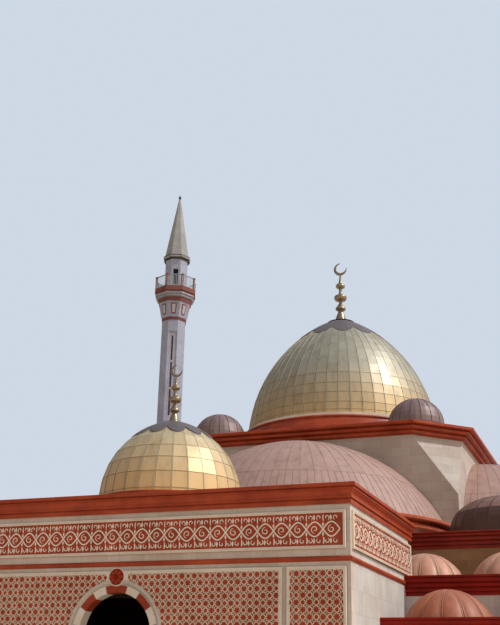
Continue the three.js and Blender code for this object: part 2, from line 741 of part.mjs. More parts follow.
function makeBase() {
  const { half, flat, wallTop, corniceTop, corniceReach, archOpen, archSpring } = BASE;
  const core = plate(octagonOutline(BASE.innerHalf, BASE.innerFlat), BELOW, ABOVE);
  const corners = [[1, 1], [1, -1], [-1, 1], [-1, -1]];
  add('base_block', 'stone', cut(solid(box(-half, half, -half, half, FLOOR_TOP, wallTop)), [
    core,
    archAlongY(0, archOpen, archSpring, -half - PAST, half + PAST),
    archAlongX(0, archOpen, archSpring, -half - PAST, half + PAST),
    ...corners.map(([sx, sy]) => cornerCutter(sx, sy)),
  ]));

  const spread = Math.SQRT2 - 1;
  const outlineAt = (reach) => octagonOutline(half + reach, flat + reach * spread);
  add('base_cornice', 'redStone', steppedCornice(outlineAt, corniceReach, wallTop, corniceTop, core));

  const roofFlat = flat - (half - BASE.roofHalf) * spread;
  const roof = solid(plate(octagonOutline(BASE.roofHalf, roofFlat), corniceTop, BASE.roofTop));
  add('base_roof', 'stone', cut(roof, [disc(DRUM.inner, BELOW, ABOVE, 32)]));
}

function makeSmallDomes() {
  const dome = SMALL_DOME;
  const innerSteps = 2;
  const profile = domeProfile(dome, dome.spring, 3, innerSteps);
  const kerb = dome.radius + dome.kerb;
  const ring = [[dome.radius - dome.shell, BASE.roofTop], [kerb, BASE.roofTop], [kerb, dome.spring]];
  const whole = [...profile.slice(0, innerSteps + 1), ...ring, ...profile.slice(innerSteps + 1)];
  const names = { front_right: [1, -1], front_left: [-1, -1], rear_right: [1, 1], rear_left: [-1, 1] };
  for (const [place, [sx, sy]] of Object.entries(names)) {
    const body = solid(lathe(whole, 14).translate(mm(sx * dome.at), mm(sy * dome.at), 0));
    add(`small_dome_${place}`, 'brownMetal', body);
  }
}

function makeMainDome() {
  const { skirt, skirtTop, neck, neckTop, fillet, top, inner } = DRUM;
  add('main_drum', 'redStone', lathe([
    [inner, BASE.roofTop], [skirt, BASE.roofTop], [skirt, skirtTop], [neck, neckTop], [fillet, neckTop],
    [fillet, top], [inner, top], [inner, BASE.roofTop],
  ], 36));
  add('main_dome', 'gold', lathe(domeProfile(MAIN_DOME, top, 7, 4), 36));
}

// Minarets.

// Turn of the middle of one of its eight faces, in radians.
function faceAngle(face) {
  return THREE.MathUtils.degToRad(22.5 + 45 * face);
}

function pedestalBox(side, gap) {
  const { x, y, pedestalHalf } = MINARET;
  const reach = pedestalHalf + gap;
  return box(side * x - reach, side * x + reach, y - reach, y + reach, BELOW, ABOVE);
}

// Tall windows on every other face of the shaft, each in three lights.
function shaftSlits() {
  const cuts = [];
  const across = MINARET.shaft * 2;
  for (const face of [1, 3]) {
    SLIT.bottoms.forEach((bottom, i) => {
      const half = SLIT.width / 2;
      const slit = box(-half, half, -across, across, bottom, SLIT.tops[i]);
      slit.rotateZ(faceAngle(face));
      cuts.push(slit);
    });
  }
  return cuts;
}

function minaretShaft() {
  const { pedestalHalf, pedestalTop, shaft, wall, doorHalf, doorSpring } = MINARET;
  const pedestal = box(-pedestalHalf, pedestalHalf, -pedestalHalf, pedestalHalf, FLOOR_TOP, pedestalTop);
  const octagon = disc(shaft, pedestalTop - PAST, BALCONY.bottom, 8);
  const hollow = disc(shaft - wall, BELOW, ABOVE, 8);
  const doorway = archAlongX(0, doorHalf, doorSpring, 0, pedestalHalf + PAST);
  return cut(join([pedestal, octagon]), [hollow, doorway, ...shaftSlits()]);
}

function minaretBalcony() {
  const { bottom, ring, flareBottom, flareFrom, flareTop, flareTo, redBandTop, redBand } = BALCONY;
  const { whiteBandTop, whiteBand, slabTop, slab, railTop, rail } = BALCONY;
  const bore = MINARET.shaft - MINARET.wall;
  return solid(lathe([
    [bore, bottom], [ring, bottom], [flareFrom, flareBottom], [flareTo, flareTop],
    [redBand[0], flareTop], [redBand[1], redBandTop],
    [whiteBand[0], redBandTop], [whiteBand[1], whiteBandTop],
    [slab, whiteBandTop], [slab, slabTop], [rail[1], slabTop], [rail[1], railTop],
    [rail[0], railTop], [rail[0], slabTop], [bore, slabTop], [bore, bottom],
  ], 8));
}

function minaretTurret() {
  const { slabTop } = BALCONY;
  const { inner, outer, top, doorHalf, doorTop } = TURRET;
  const doorway = box(-doorHalf, doorHalf, -outer - PAST, 0, BELOW, doorTop);
  doorway.rotateZ(faceAngle(0));
  return cut(solid(disc(outer, slabTop, top, 8)), [disc(inner, BELOW, ABOVE, 8), doorway]);
}

function minaretSpire() {
  const { eave, eaveTop, lip, foot, stem, stemBottom, tip } = SPIRE;
  const { top } = TURRET;
  const inner = TURRET.inner + JOINT;
  return solid(lathe([
    [0, stemBottom - lip], [inner, eaveTop], [inner, top], [eave[0], top], [eave[1], top + lip],
    [eave[1], eaveTop - lip / 2], [foot, eaveTop], [stem, stemBottom], [stem, tip], [0, tip],
  ], 8));
}

function makeMinarets() {
  const pieces = {
    shaft: ['stone', minaretShaft()],
    balcony: ['redStone', minaretBalcony()],
    turret: ['stone', minaretTurret()],
    spire: ['lead', minaretSpire()],
  };
  for (const [piece, [finish, body]] of Object.entries(pieces)) {
    const placed = body.translate([mm(MINARET.x), mm(MINARET.y), 0]);
    add(`minaret_right_${piece}`, finish, placed);
    add(`minaret_left_${piece}`, finish, mirrored(placed));
  }
}

makeEntranceWalls();
makeEntranceBands();
makeFriezes();
makeScreens();
makePortal();
makeFrontDome();
add('front_finial', 'gold', finial(FRONT_DOME.top, 0.58, FRONT_DOME.y));
makePorch();
makeAisle();
makeHallWalls();
makeHallTop();
makeSemiDomes();
makeBase();
makeSmallDomes();
makeMainDome();
add('main_finial', 'gold', finial(MAIN_DOME.top, 1, 0));
makeMinarets();

export default model;
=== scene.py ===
# %% [markdown]
# A domed mosque in pale stone, red stone and gilded sheet. The frame already holds every part at
# half the real size: walls, roofs, plain shells of the domes. This lesson keeps the plain walls,
# gives each surface its finish, and models again what a mason or a roofer would shape finely.
# A size in this script is the real one in metres times M, so it reads as on a builder's drawing.

# %% Load the frame
import math
import random

import bmesh
import bpy
from mathutils import Matrix, Vector


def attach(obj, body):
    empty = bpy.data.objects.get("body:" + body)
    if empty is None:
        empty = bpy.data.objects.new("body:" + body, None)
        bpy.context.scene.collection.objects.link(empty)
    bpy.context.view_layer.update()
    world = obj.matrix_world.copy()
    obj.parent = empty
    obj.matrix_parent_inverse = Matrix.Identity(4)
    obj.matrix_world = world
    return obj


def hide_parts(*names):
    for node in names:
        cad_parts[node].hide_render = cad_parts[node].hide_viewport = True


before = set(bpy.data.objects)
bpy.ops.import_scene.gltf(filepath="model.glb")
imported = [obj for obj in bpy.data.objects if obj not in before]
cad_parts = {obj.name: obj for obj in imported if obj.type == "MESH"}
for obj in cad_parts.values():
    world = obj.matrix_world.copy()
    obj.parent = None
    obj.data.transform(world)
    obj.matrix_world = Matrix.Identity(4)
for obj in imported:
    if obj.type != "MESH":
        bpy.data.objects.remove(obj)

M = 0.5
UP = Vector((0, 0, 1))
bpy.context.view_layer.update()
print("nodes in the frame:", len(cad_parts))

# %% [markdown]
# The camera comes first. The photograph looks up at the domes from the street, to the right of the
# portal, so the camera is at eye height, turned left and tilted up, with a slight roll. The focal
# length was measured in pixels of a frame 625 pixels tall.

# %% Camera
EYE = Vector((21.565, -76.5, 1.6)) * M
TURN_LEFT, TILT_UP, ROLL = (math.radians(angle) for angle in (21.309, 20.858, 1.208))
FOCAL_PIXELS, FRAME_HEIGHT = 996.6, 625

camera_data = bpy.data.cameras.new("street_camera")
camera_data.sensor_width = 36
camera_data.lens = FOCAL_PIXELS * camera_data.sensor_width / FRAME_HEIGHT
camera_data.clip_end = 500
camera = bpy.data.objects.new("street_camera", camera_data)
bpy.context.collection.objects.link(camera)
aim = Matrix.Rotation(TURN_LEFT, 3, "Z") @ Matrix.Rotation(math.pi / 2 + TILT_UP, 3, "X")
camera.rotation_euler = (aim @ Matrix.Rotation(ROLL, 3, "Z")).to_euler()
camera.location = EYE
bpy.context.scene.camera = camera
print("lens in mm:", round(camera_data.lens, 1))

# %% [markdown]
# Light decides how a building reads. The glints on the two gilded domes tell where the sun stood:
# square to the right-hand side and halfway up the sky, so the front is in open shade and the right
# side glows. One sun lamp with a wide, soft disc does this, and a pale sky fills the shade. The sky
# is brighter on the sun's side, which gives the gilded domes their dark flank. It is a tree of nodes.
# A short helper adds one node and links what it is given.

# %% Sun and sky
SUN_SIDE, SUN_HEIGHT = math.radians(97), math.radians(50)
SUN_POWER, SUN_DISC, SUN_COLOUR = 2.6, math.radians(3), (0.93, 0.97, 1.0)
HORIZON, LOW_SKY, HIGH_SKY = (0.78, 0.64, 0.53, 1), (0.60, 0.61, 0.62, 1), (0.36, 0.44, 0.58, 1)
LOW_SKY_AT, HIGH_SKY_AT = 0.35, 0.8
SKY_POWER, AWAY_FROM_SUN, TOWARDS_SUN = 0.95, 0.36, 1.5
BACKDROP = (0.62, 0.69, 0.78, 1)


def add(tree, kind, inputs=None, **settings):
    """A new node. An input is a number, a colour, or another node's output to link."""
    made = tree.nodes.new(kind)
    for name, value in settings.items():
        setattr(made, name, value)
    for name, value in (inputs or {}).items():
        if isinstance(value, bpy.types.NodeSocket):
            tree.links.new(value, made.inputs[name])
        else:
            made.inputs[name].default_value = value
    return made


to_sun = Vector((
    math.sin(SUN_SIDE) * math.cos(SUN_HEIGHT),
    -math.cos(SUN_SIDE) * math.cos(SUN_HEIGHT),
    math.sin(SUN_HEIGHT),
))
sun_data = bpy.data.lights.new("sun", "SUN")
sun_data.energy, sun_data.angle, sun_data.color = SUN_POWER, SUN_DISC, SUN_COLOUR
sun = bpy.data.objects.new("sun", sun_data)
sun.rotation_euler = to_sun.to_track_quat("Z", "Y").to_euler()
bpy.context.collection.objects.link(sun)

world = bpy.data.worlds.new("sky")
bpy.context.scene.world = world
world.use_nodes = True
sky = world.node_tree
sky.nodes.clear()
direction = add(sky, "ShaderNodeTexCoord").outputs["Generated"]
up_the_sky = add(sky, "ShaderNodeSeparateXYZ", {0: direction}).outputs["Z"]
ramp = add(sky, "ShaderNodeValToRGB", {"Fac": up_the_sky})
ramp.color_ramp.elements[0].color = HORIZON
ramp.color_ramp.elements[1].position = HIGH_SKY_AT
ramp.color_ramp.elements[1].color = HIGH_SKY
ramp.color_ramp.elements.new(LOW_SKY_AT).color = LOW_SKY
level_to_sun = Vector((to_sun.x, to_sun.y, 0)).normalized()
toward = add(sky, "ShaderNodeVectorMath", {0: direction, 1: level_to_sun}, operation="DOT_PRODUCT")
sunward = add(sky, "ShaderNodeMapRange", {
    "Value": toward.outputs["Value"], "From Min": -1.0, "From Max": 1.0,
    "To Min": AWAY_FROM_SUN, "To Max": TOWARDS_SUN,
}).outputs["Result"]
brighter = add(sky, "ShaderNodeVectorMath", {0: ramp.outputs["Color"], "Scale": sunward}, operation="SCALE")
lighting = add(sky, "ShaderNodeBackground", {"Color": brighter.outputs["Vector"], "Strength": SKY_POWER})
backdrop = add(sky, "ShaderNodeBackground", {"Color": BACKDROP})
seen = add(sky, "ShaderNodeLightPath").outputs["Is Camera Ray"]
choose = add(sky, "ShaderNodeMixShader", {"Fac": seen, 1: lighting.outputs[0], 2: backdrop.outputs[0]})
add(sky, "ShaderNodeOutputWorld", {"Surface": choose.outputs[0]})

bpy.context.scene.view_settings.view_transform = "Standard"
bpy.context.scene.view_settings.look = "None"
print("towards the sun:", [round(v, 2) for v in to_sun])

# %% [markdown]
# A bpy.ops operator works on everything that is selected, and the frame's parts are selected after
# loading. So each piece starts from an empty selection. These few helpers are used in every cell:
# they choose a piece, choose some of its faces by their place, and put a finished piece away.

# %% Helpers for choosing
def clear_selection():
    """Object mode, with nothing selected."""
    if bpy.context.object and bpy.context.object.mode == "EDIT":
        bpy.ops.object.mode_set(mode="OBJECT")
    bpy.ops.object.select_all(action="DESELECT")


def take(*pieces):
    """Selects these pieces only. The first is active."""
    clear_selection()
    for piece in pieces:
        piece.select_set(True)
    bpy.context.view_layer.objects.active = pieces[0]


def edit(piece, action="SELECT"):
    take(piece)
    bpy.ops.object.mode_set(mode="EDIT")
    bpy.ops.mesh.select_mode(type="VERT")
    bpy.ops.mesh.select_all(action=action)


def choose_faces(piece, wanted):
    """In edit mode, selects the faces for which wanted(centre, normal) is true."""
    edit(piece, "DESELECT")
    bpy.ops.mesh.select_mode(type="FACE")
    shape = bmesh.from_edit_mesh(piece.data)
    for face in shape.faces:
        face.select_set(bool(wanted(face.calc_center_median(), face.normal)))
    bmesh.update_edit_mesh(piece.data)


def joined(name, pieces):
    """One piece from several, with points that meet merged."""
    take(*pieces)
    if len(pieces) > 1:
        bpy.ops.object.join()
    whole = bpy.context.object
    whole.name = name
    edit(whole)
    bpy.ops.mesh.remove_doubles(threshold=0.0004)
    bpy.ops.object.mode_set(mode="OBJECT")
    return whole


def copy_of(piece, name):
    take(piece)
    bpy.ops.object.duplicate()
    twin = bpy.context.object
    twin.name = name
    return twin


def settled(piece):
    """Applies the place, turn and size of the piece to its mesh."""
    take(piece)
    bpy.ops.object.transform_apply(location=True, rotation=True, scale=True)
    return piece


def swung(piece, degrees):
    """Turns the piece about the upright axis, in its mesh."""
    piece.matrix_world = Matrix.Rotation(math.radians(degrees), 4, "Z")
    return settled(piece)


def faced_out(piece):
    """Points the faces outwards, and leaves the piece selected."""
    edit(piece)
    bpy.ops.mesh.normals_make_consistent(inside=False)
    bpy.ops.object.mode_set(mode="OBJECT")
    return piece


def put_away(piece, finish, nodes=(), crease=None):
    """Points the faces outwards, gives the finish, and hangs the piece on the building."""
    faced_out(piece)
    bpy.ops.object.transform_apply(location=True, rotation=True, scale=True)
    finishes = finish if isinstance(finish, (list, tuple)) else [finish]
    if len(finishes) == 1:
        piece.data.materials.clear()
    for one in finishes:
        if one.name not in piece.data.materials:
            piece.data.materials.append(one)
    if crease is not None:
        bpy.ops.object.shade_smooth_by_angle(angle=math.radians(crease))
    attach(piece, "root")
    if nodes:
        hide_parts(*nodes)
    clear_selection()
    print(piece.name, "faces:", len(piece.data.polygons))
    return piece


print("helpers for choosing are ready")

# %% [markdown]
# Three ways of making a shape give nearly the whole building. A line of points is drawn by extruding
# one vertex again and again. Turned about an upright axis it is a dome or a drum. Closed to a face and
# run along a path, with mitred corners, it is a cornice or a frame. A block starts as a cube primitive
# and gets its edges eased. The last few helpers turn real metres into metres of the model.

# %% Helpers for making
def drawn(name, points, close=False):
    """A chain of edges through the points, or a flat face when closed."""
    clear_selection()
    bpy.ops.mesh.primitive_plane_add(size=0.01, location=points[0])
    piece = bpy.context.object
    piece.name = name
    bpy.ops.object.mode_set(mode="EDIT")
    bpy.ops.mesh.select_mode(type="VERT")
    bpy.ops.mesh.select_all(action="SELECT")
    bpy.ops.mesh.merge(type="CENTER")
    for here, there in zip(points, points[1:]):
        step = Vector(there) - Vector(here)
        bpy.ops.mesh.extrude_region_move(TRANSFORM_OT_translate={"value": step})
    if close:
        bpy.ops.mesh.select_all(action="SELECT")
        bpy.ops.mesh.edge_face_add()
    bpy.ops.object.mode_set(mode="OBJECT")
    bpy.ops.object.transform_apply(location=True, rotation=False, scale=False)
    return piece


def extruded(name, outline, depth):
    """The flat outline, closed to a face and given this depth."""
    piece = drawn(name, outline, close=True)
    edit(piece)
    bpy.ops.mesh.extrude_region_move(TRANSFORM_OT_translate={"value": Vector(depth)})
    return faced_out(piece)


def turned(name, profile, steps, centre=(0, 0), sweep=2 * math.pi):
    """The profile of (radius, height) points, closed and spun about an upright axis."""
    cx, cy = centre
    piece = drawn(name, [(cx + radius, cy, z) for radius, z in profile])
    edit(piece)
    bpy.ops.mesh.edge_face_add()
    bpy.ops.mesh.delete(type="ONLY_FACE")
    bpy.ops.mesh.select_all(action="SELECT")
    bpy.ops.mesh.spin(steps=steps, angle=sweep, center=(cx, cy, 0), axis=(0, 0, 1))
    bpy.ops.mesh.select_all(action="SELECT")
    bpy.ops.mesh.remove_doubles(threshold=0.0002)
    bpy.ops.mesh.delete_loose()
    bpy.ops.mesh.normals_make_consistent(inside=False)
    bpy.ops.object.mode_set(mode="OBJECT")
    return piece


def eased(piece, width):
    """Cuts a narrow flat along every edge."""
    edit(piece)
    bpy.ops.mesh.bevel(offset=width, segments=1, affect="EDGES")
    bpy.ops.object.mode_set(mode="OBJECT")
    return piece


def block(name, low, high, ease=0.0):
    """A cube primitive brought to its size and place, with its edges eased."""
    low, high = Vector(low), Vector(high)
    clear_selection()
    bpy.ops.mesh.primitive_cube_add(size=1, location=(low + high) / 2, scale=high - low)
    piece = bpy.context.object
    piece.name = name
    bpy.ops.object.transform_apply(location=True, rotation=True, scale=True)
    return eased(piece, ease) if ease else piece


def moulding(name, path, profile, lift=UP, closed=True):
    """Runs a profile of (out, up) points along straight stretches, mitred where they meet.
    Out is to the right of the way the path goes, seen with up upwards."""
    lift = Vector(lift)
    corners = [Vector(point) for point in path]
    count = len(corners)
    spans = count if closed else count - 1
    ways = [(corners[(i + 1) % count] - corners[i]).normalized() for i in range(spans)]
    over = 1.6 * max(abs(out) for out, _ in profile)
    runs = []
    for i, way in enumerate(ways):
        start, end = corners[i], corners[(i + 1) % count]
        before = ways[i - 1] if closed or i > 0 else None
        after = ways[(i + 1) % spans] if closed or i < spans - 1 else None
        first = start - way * over if before else start
        last = end + way * over if after else end
        side = way.cross(lift)
        run = extruded(name, [first + side * out + lift * up for out, up in profile], last - first)
        edit(run)
        for corner, other, sign in ((start, before, -1), (end, after, 1)):
            if other:
                bpy.ops.mesh.select_all(action="SELECT")
                cut = (way + other).normalized() * sign
                bpy.ops.mesh.bisect(plane_co=corner, plane_no=cut, clear_outer=True)
        bpy.ops.object.mode_set(mode="OBJECT")
        runs.append(run)
    return joined(name, runs)


def ring_of(piece, count, centre=(0, 0)):
    """Copies a piece round an upright axis, inside its own mesh."""
    edit(piece)
    bpy.ops.mesh.spin(
        steps=count - 1, dupli=True, angle=2 * math.pi * (count - 1) / count,
        center=(centre[0], centre[1], 0), axis=(0, 0, 1),
    )
    bpy.ops.object.mode_set(mode="OBJECT")
    return piece


def spot(*place):
    """One point, real metres to metres of the model."""
    return tuple(value * M for value in place)


def real(points):
    return [spot(*point) for point in points]


def solid(name, low, high, ease=0.0):
    """A block given in real metres."""
    return block(name, spot(*low), spot(*high), ease * M)


def moved(piece, x, y, z):
    piece.location = spot(x, y, z)
    return settled(piece)


print("helpers for making are ready")

# %% [markdown]
# Finishes are node trees, built with the same helper as the sky, so that a finish reads like a
# recipe. Patterns run on Object coordinates, which are metres of the model and stay put on the piece.
# The walls need two of them: along the wall, whichever way it faces, and up.

# %% Helpers for finishes
def colour(hex_code):
    """A linear colour from the usual six digits."""
    values = [int(hex_code[i:i + 2], 16) / 255 for i in (0, 2, 4)]
    linear = [v / 12.92 if v <= 0.04045 else ((v + 0.055) / 1.055) ** 2.4 for v in values]
    return (*linear, 1)


def new_finish(name, roughness, metallic=0.0, specular=0.5):
    material = bpy.data.materials.new(name)
    material.use_nodes = True
    tree = material.node_tree
    shader = tree.nodes["Principled BSDF"]
    shader.inputs["Roughness"].default_value = roughness
    shader.inputs["Metallic"].default_value = metallic
    shader.inputs["Specular IOR Level"].default_value = specular
    place = add(tree, "ShaderNodeTexCoord")
    return material, tree, shader, place


def maths(tree, operation, *values):
    return add(tree, "ShaderNodeMath", dict(enumerate(values)), operation=operation).outputs[0]


def greys(tree, value):
    """A number as a grey."""
    return add(tree, "ShaderNodeValToRGB", {"Fac": value}).outputs["Color"]


def mixed(tree, factor, first, second, blend="MIX"):
    inputs = {"Fac": factor, "Color1": first, "Color2": second}
    return add(tree, "ShaderNodeMixRGB", inputs, blend_type=blend).outputs["Color"]


def ramp_of(tree, value, low, high):
    """0 below low, 1 above high."""
    inputs = {"Value": value, "From Min": low, "From Max": high}
    return add(tree, "ShaderNodeMapRange", inputs).outputs["Result"]


def noise(tree, vector, scale, detail=4.0, stretch=None):
    if stretch:
        vector = add(tree, "ShaderNodeMapping", {"Vector": vector, "Scale": stretch}).outputs["Vector"]
    inputs = {"Vector": vector, "Scale": scale, "Detail": detail, "Roughness": 0.6}
    return add(tree, "ShaderNodeTexNoise", inputs).outputs["Fac"]


def bumped(tree, shader, height, strength, distance):
    inputs = {"Height": height, "Strength": strength, "Distance": distance}
    bump = add(tree, "ShaderNodeBump", inputs)
    tree.links.new(bump.outputs["Normal"], shader.inputs["Normal"])


def wall_plane(tree, place):
    """Along the wall and up: x or y, whichever the face runs along, then z."""
    facing = add(tree, "ShaderNodeSeparateXYZ", {0: place.outputs["Normal"]})
    at = add(tree, "ShaderNodeSeparateXYZ", {0: place.outputs["Object"]})
    side = maths(tree, "ABSOLUTE", facing.outputs["X"])
    top = maths(tree, "ABSOLUTE", facing.outputs["Z"])
    turned_side = maths(tree, "GREATER_THAN", side, 0.71)
    lies_flat = maths(tree, "GREATER_THAN", top, 0.8)

    def blend(factor, first, second):
        inputs = {0: factor, 2: first, 3: second}
        return add(tree, "ShaderNodeMix", inputs, data_type="FLOAT").outputs[0]

    along = blend(turned_side, at.outputs["X"], at.outputs["Y"])
    up = blend(lies_flat, at.outputs["Z"], at.outputs["Y"])
    return add(tree, "ShaderNodeCombineXYZ", {"X": along, "Y": up}).outputs[0]


print("helpers for finishes are ready")

# %% [markdown]
# The walls are faced with sawn limestone slabs. The Brick Texture gives the slabs their slight
# differences of shade and the thin joints, a broad noise clouds them, and a noise stretched upwards
# draws the faint runs of dirt that rain leaves under the cornices. The joints are also bumped in.

# %% Stone facing
def stone_facing(name, light, dark, joint, slab, dirt, shift=0.5):
    material, tree, shader, place = new_finish(name, 0.82, specular=0.25)
    plane = wall_plane(tree, place)
    bricks = add(tree, "ShaderNodeTexBrick", {
        "Vector": plane, "Color1": colour(light), "Color2": colour(dark), "Mortar": colour(joint),
        "Scale": 1.0, "Mortar Size": 0.007 * M, "Mortar Smooth": 0.4, "Bias": -0.15,
        "Brick Width": slab[0], "Row Height": slab[1],
    }, offset=shift)
    clouds = ramp_of(tree, noise(tree, place.outputs["Object"], 0.9), 0.3, 0.75)
    cloudy = mixed(tree, clouds, bricks.outputs["Color"], (0.80, 0.74, 0.70, 1), "MULTIPLY")
    runs = noise(tree, place.outputs["Object"], 2.2, 5.0, (1.0, 1.0, 0.12))
    stains = ramp_of(tree, runs, 0.62, 0.78)
    stained = maths(tree, "MULTIPLY", stains, dirt)
    dirty = mixed(tree, stained, cloudy, (0.33, 0.26, 0.22, 1), "MULTIPLY")
    grain = noise(tree, place.outputs["Object"], 26.0, 3.0)
    speckled = mixed(tree, 0.16, dirty, greys(tree, grain), "OVERLAY")
    tree.links.new(speckled, shader.inputs["Base Color"])
    relief = maths(tree, "SUBTRACT", grain, bricks.outputs["Fac"])
    bumped(tree, shader, relief, 0.5, 0.006 * M)
    return material


wall_stone = stone_facing("wall_stone", "d8cfc4", "cec3b6", "b3a699", (0.62 * M, 0.93 * M), 0.3)
block_stone = stone_facing("block_stone", "cdbeb0", "c2b1a2", "a39284", (1.3 * M, 0.62 * M), 0.8)
# A brown copy of the wall stone for the hall's front wall, which stands in shade between the cornices:
# painted shade.
hall_front_shade_stone = stone_facing("hall_front_shade_stone", "a4805c", "937050", "7c5f45", (0.62 * M, 0.5 * M), 0.3)


def paler_ends(material, reach, light, dark):
    """Gives a stone facing other tones beyond a distance from the middle, for the ends of a wall."""
    tree = material.node_tree
    bricks = next(node for node in tree.nodes if node.type == "TEX_BRICK")
    place = add(tree, "ShaderNodeTexCoord")
    along = add(tree, "ShaderNodeSeparateXYZ", {"Vector": place.outputs["Object"]}).outputs["X"]
    ends = maths(tree, "GREATER_THAN", maths(tree, "ABSOLUTE", along), reach * M)
    for socket, tone in (("Color1", light), ("Color2", dark)):
        own = tuple(bricks.inputs[socket].default_value)
        tree.links.new(mixed(tree, ends, own, colour(tone)), bricks.inputs[socket])


# The ends of the hall's front wall keep the plain wall stone; its face carries the painted shade.
paler_ends(hall_front_shade_stone, 22.27, "d8cfc4", "cec3b6")
roof_screed = stone_facing("roof_screed", "a9a196", "9a9186", "7d756b", (0.8 * M, 0.8 * M), 0.5, 0.0)
tower_pink = stone_facing("tower_pink", "a98a80", "997a70", "846a61", (0.5 * M, 0.5 * M), 0.3)
tower_stone = stone_facing("tower_stone", "b3b4c1", "a6a7b3", "8f8f98", (0.5 * M, 0.5 * M), 0.3)
tower_panel = stone_facing("tower_panel", "c6bcc2", "b8aeb4", "9e949a", (0.5 * M, 0.5 * M), 0.3)
# A warmer copy of the wall stone for the front wall, which stands in open shade: painted warm shade.
shaded_front_stone = stone_facing("shaded_front_stone", "dfcdba", "d4c1ad", "b9a591", (0.62 * M, 0.93 * M), 0.3)
tower_light = stone_facing("tower_light", "d2cacb", "c4bcbd", "ada5a6", (0.5 * M, 0.5 * M), 0.3)
print("stone facings:", wall_stone.name, block_stone.name, roof_screed.name, tower_stone.name)

# %% [markdown]
# The cornices are honed red-brown stone in blocks about a metre long, each a little different. Cream
# stone makes the frames and the strapwork. All are plain stones: one recipe serves them, each with its
# own colours, with fine veins along the bed and a darker, dirtier tone where the noise says so.

# %% Red stone and cream stone
def plain_stone(name, light, dark, length, roughness, veins=0.35, joint_tone=0.45, gloss=0.0):
    material, tree, shader, place = new_finish(name, roughness, specular=0.2)
    shader.inputs["Coat Weight"].default_value = gloss
    shader.inputs["Coat Roughness"].default_value = 0.3
    plane = wall_plane(tree, place)
    tone = add(tree, "ShaderNodeTexBrick", {
        "Vector": plane, "Color1": (0.93, 0.93, 0.93, 1), "Color2": (1.0, 1.0, 1.0, 1),
        "Mortar": (joint_tone, joint_tone, joint_tone, 1), "Scale": 1.0, "Mortar Size": 0.009 * M,
        "Mortar Smooth": 0.5, "Brick Width": length, "Row Height": 60.0,
    }, offset=0.0)
    clouds = noise(tree, place.outputs["Object"], 1.6, 5.0)
    bed = noise(tree, place.outputs["Object"], 3.0, 6.0, (0.4, 0.4, 3.0))
    mottled = mixed(tree, ramp_of(tree, clouds, 0.3, 0.7), colour(light), colour(dark))
    veined = mixed(tree, veins, mottled, greys(tree, bed), "OVERLAY")
    jointed = mixed(tree, 1.0, veined, tone.outputs["Color"], "MULTIPLY")
    tree.links.new(jointed, shader.inputs["Base Color"])
    grain = noise(tree, place.outputs["Object"], 30.0, 3.0)
    relief = maths(tree, "SUBTRACT", grain, tone.outputs["Fac"])
    bumped(tree, shader, relief, 0.35, 0.004 * M)
    return material


red_stone = plain_stone("red_stone", "bd4c22", "983210", 0.95 * M, 0.5, 0.35, 0.6, gloss=0.25)
hall_red = plain_stone("hall_red", "9a260a", "781704", 0.95 * M, 0.5, 0.35, 0.6, gloss=0.2)
# A lighter red for the cornices of the half domes, whose lips catch the sun: painted sunlight.
sunlit_half_dome_red = plain_stone("sunlit_half_dome_red", "dc7049", "b85236", 0.95 * M, 0.5, 0.35, 0.6, gloss=0.25)
tower_red = plain_stone("tower_red", "915a50", "7b463e", 0.5 * M, 0.6, 0.3, 0.7)
portal_red = plain_stone("portal_red", "b34b28", "8f3319", 0.95 * M, 0.55, 0.3, 0.7)
band_stone = plain_stone("band_stone", "b3afb2", "9b979a", 0.5 * M, 0.75, 0.2, 0.6)
eave_stone = plain_stone("eave_stone", "b5b0aa", "9c968f", 0.5 * M, 0.75, 0.2, 0.7)
vine_stone = plain_stone("vine_stone", "ffeed8", "f0dabe", 40.0, 0.8, 0.2)
hood_stone = plain_stone("hood_stone", "dccbb8", "c6b5a1", 0.6 * M, 0.75, 0.2, 0.7)
deep_red_stone = plain_stone("deep_red_stone", "a01c06", "7e1002", 0.95 * M, 0.5, 0.35, 0.6)
cream_stone = plain_stone("cream_stone", "f4e2cc", "e4d0b6", 0.7 * M, 0.75, 0.2, 0.8)
strap_stone = plain_stone("strap_stone", "f6dcc0", "e6c8a6", 40.0, 0.8, 0.25)
star_stone = plain_stone("star_stone", "b84a2c", "97331b", 40.0, 0.7, 0.4)
bay_red = plain_stone("bay_red", "a4654b", "8e5039", 0.9 * M, 0.7, 0.4, 0.75)
ground_stone = plain_stone("ground_stone", "a25c3e", "864530", 40.0, 0.85, 0.4)
print("plain stones:", red_stone.name, deep_red_stone.name, cream_stone.name)

# %% [markdown]
# The domes are clad in metal sheets. Every sheet was beaten and coloured a little differently, so
# each face of a dome carries its own tone, a number kept on the mesh, which the finish turns into a
# lighter or darker patch. A slow noise adds weathering and breaks up the gloss.

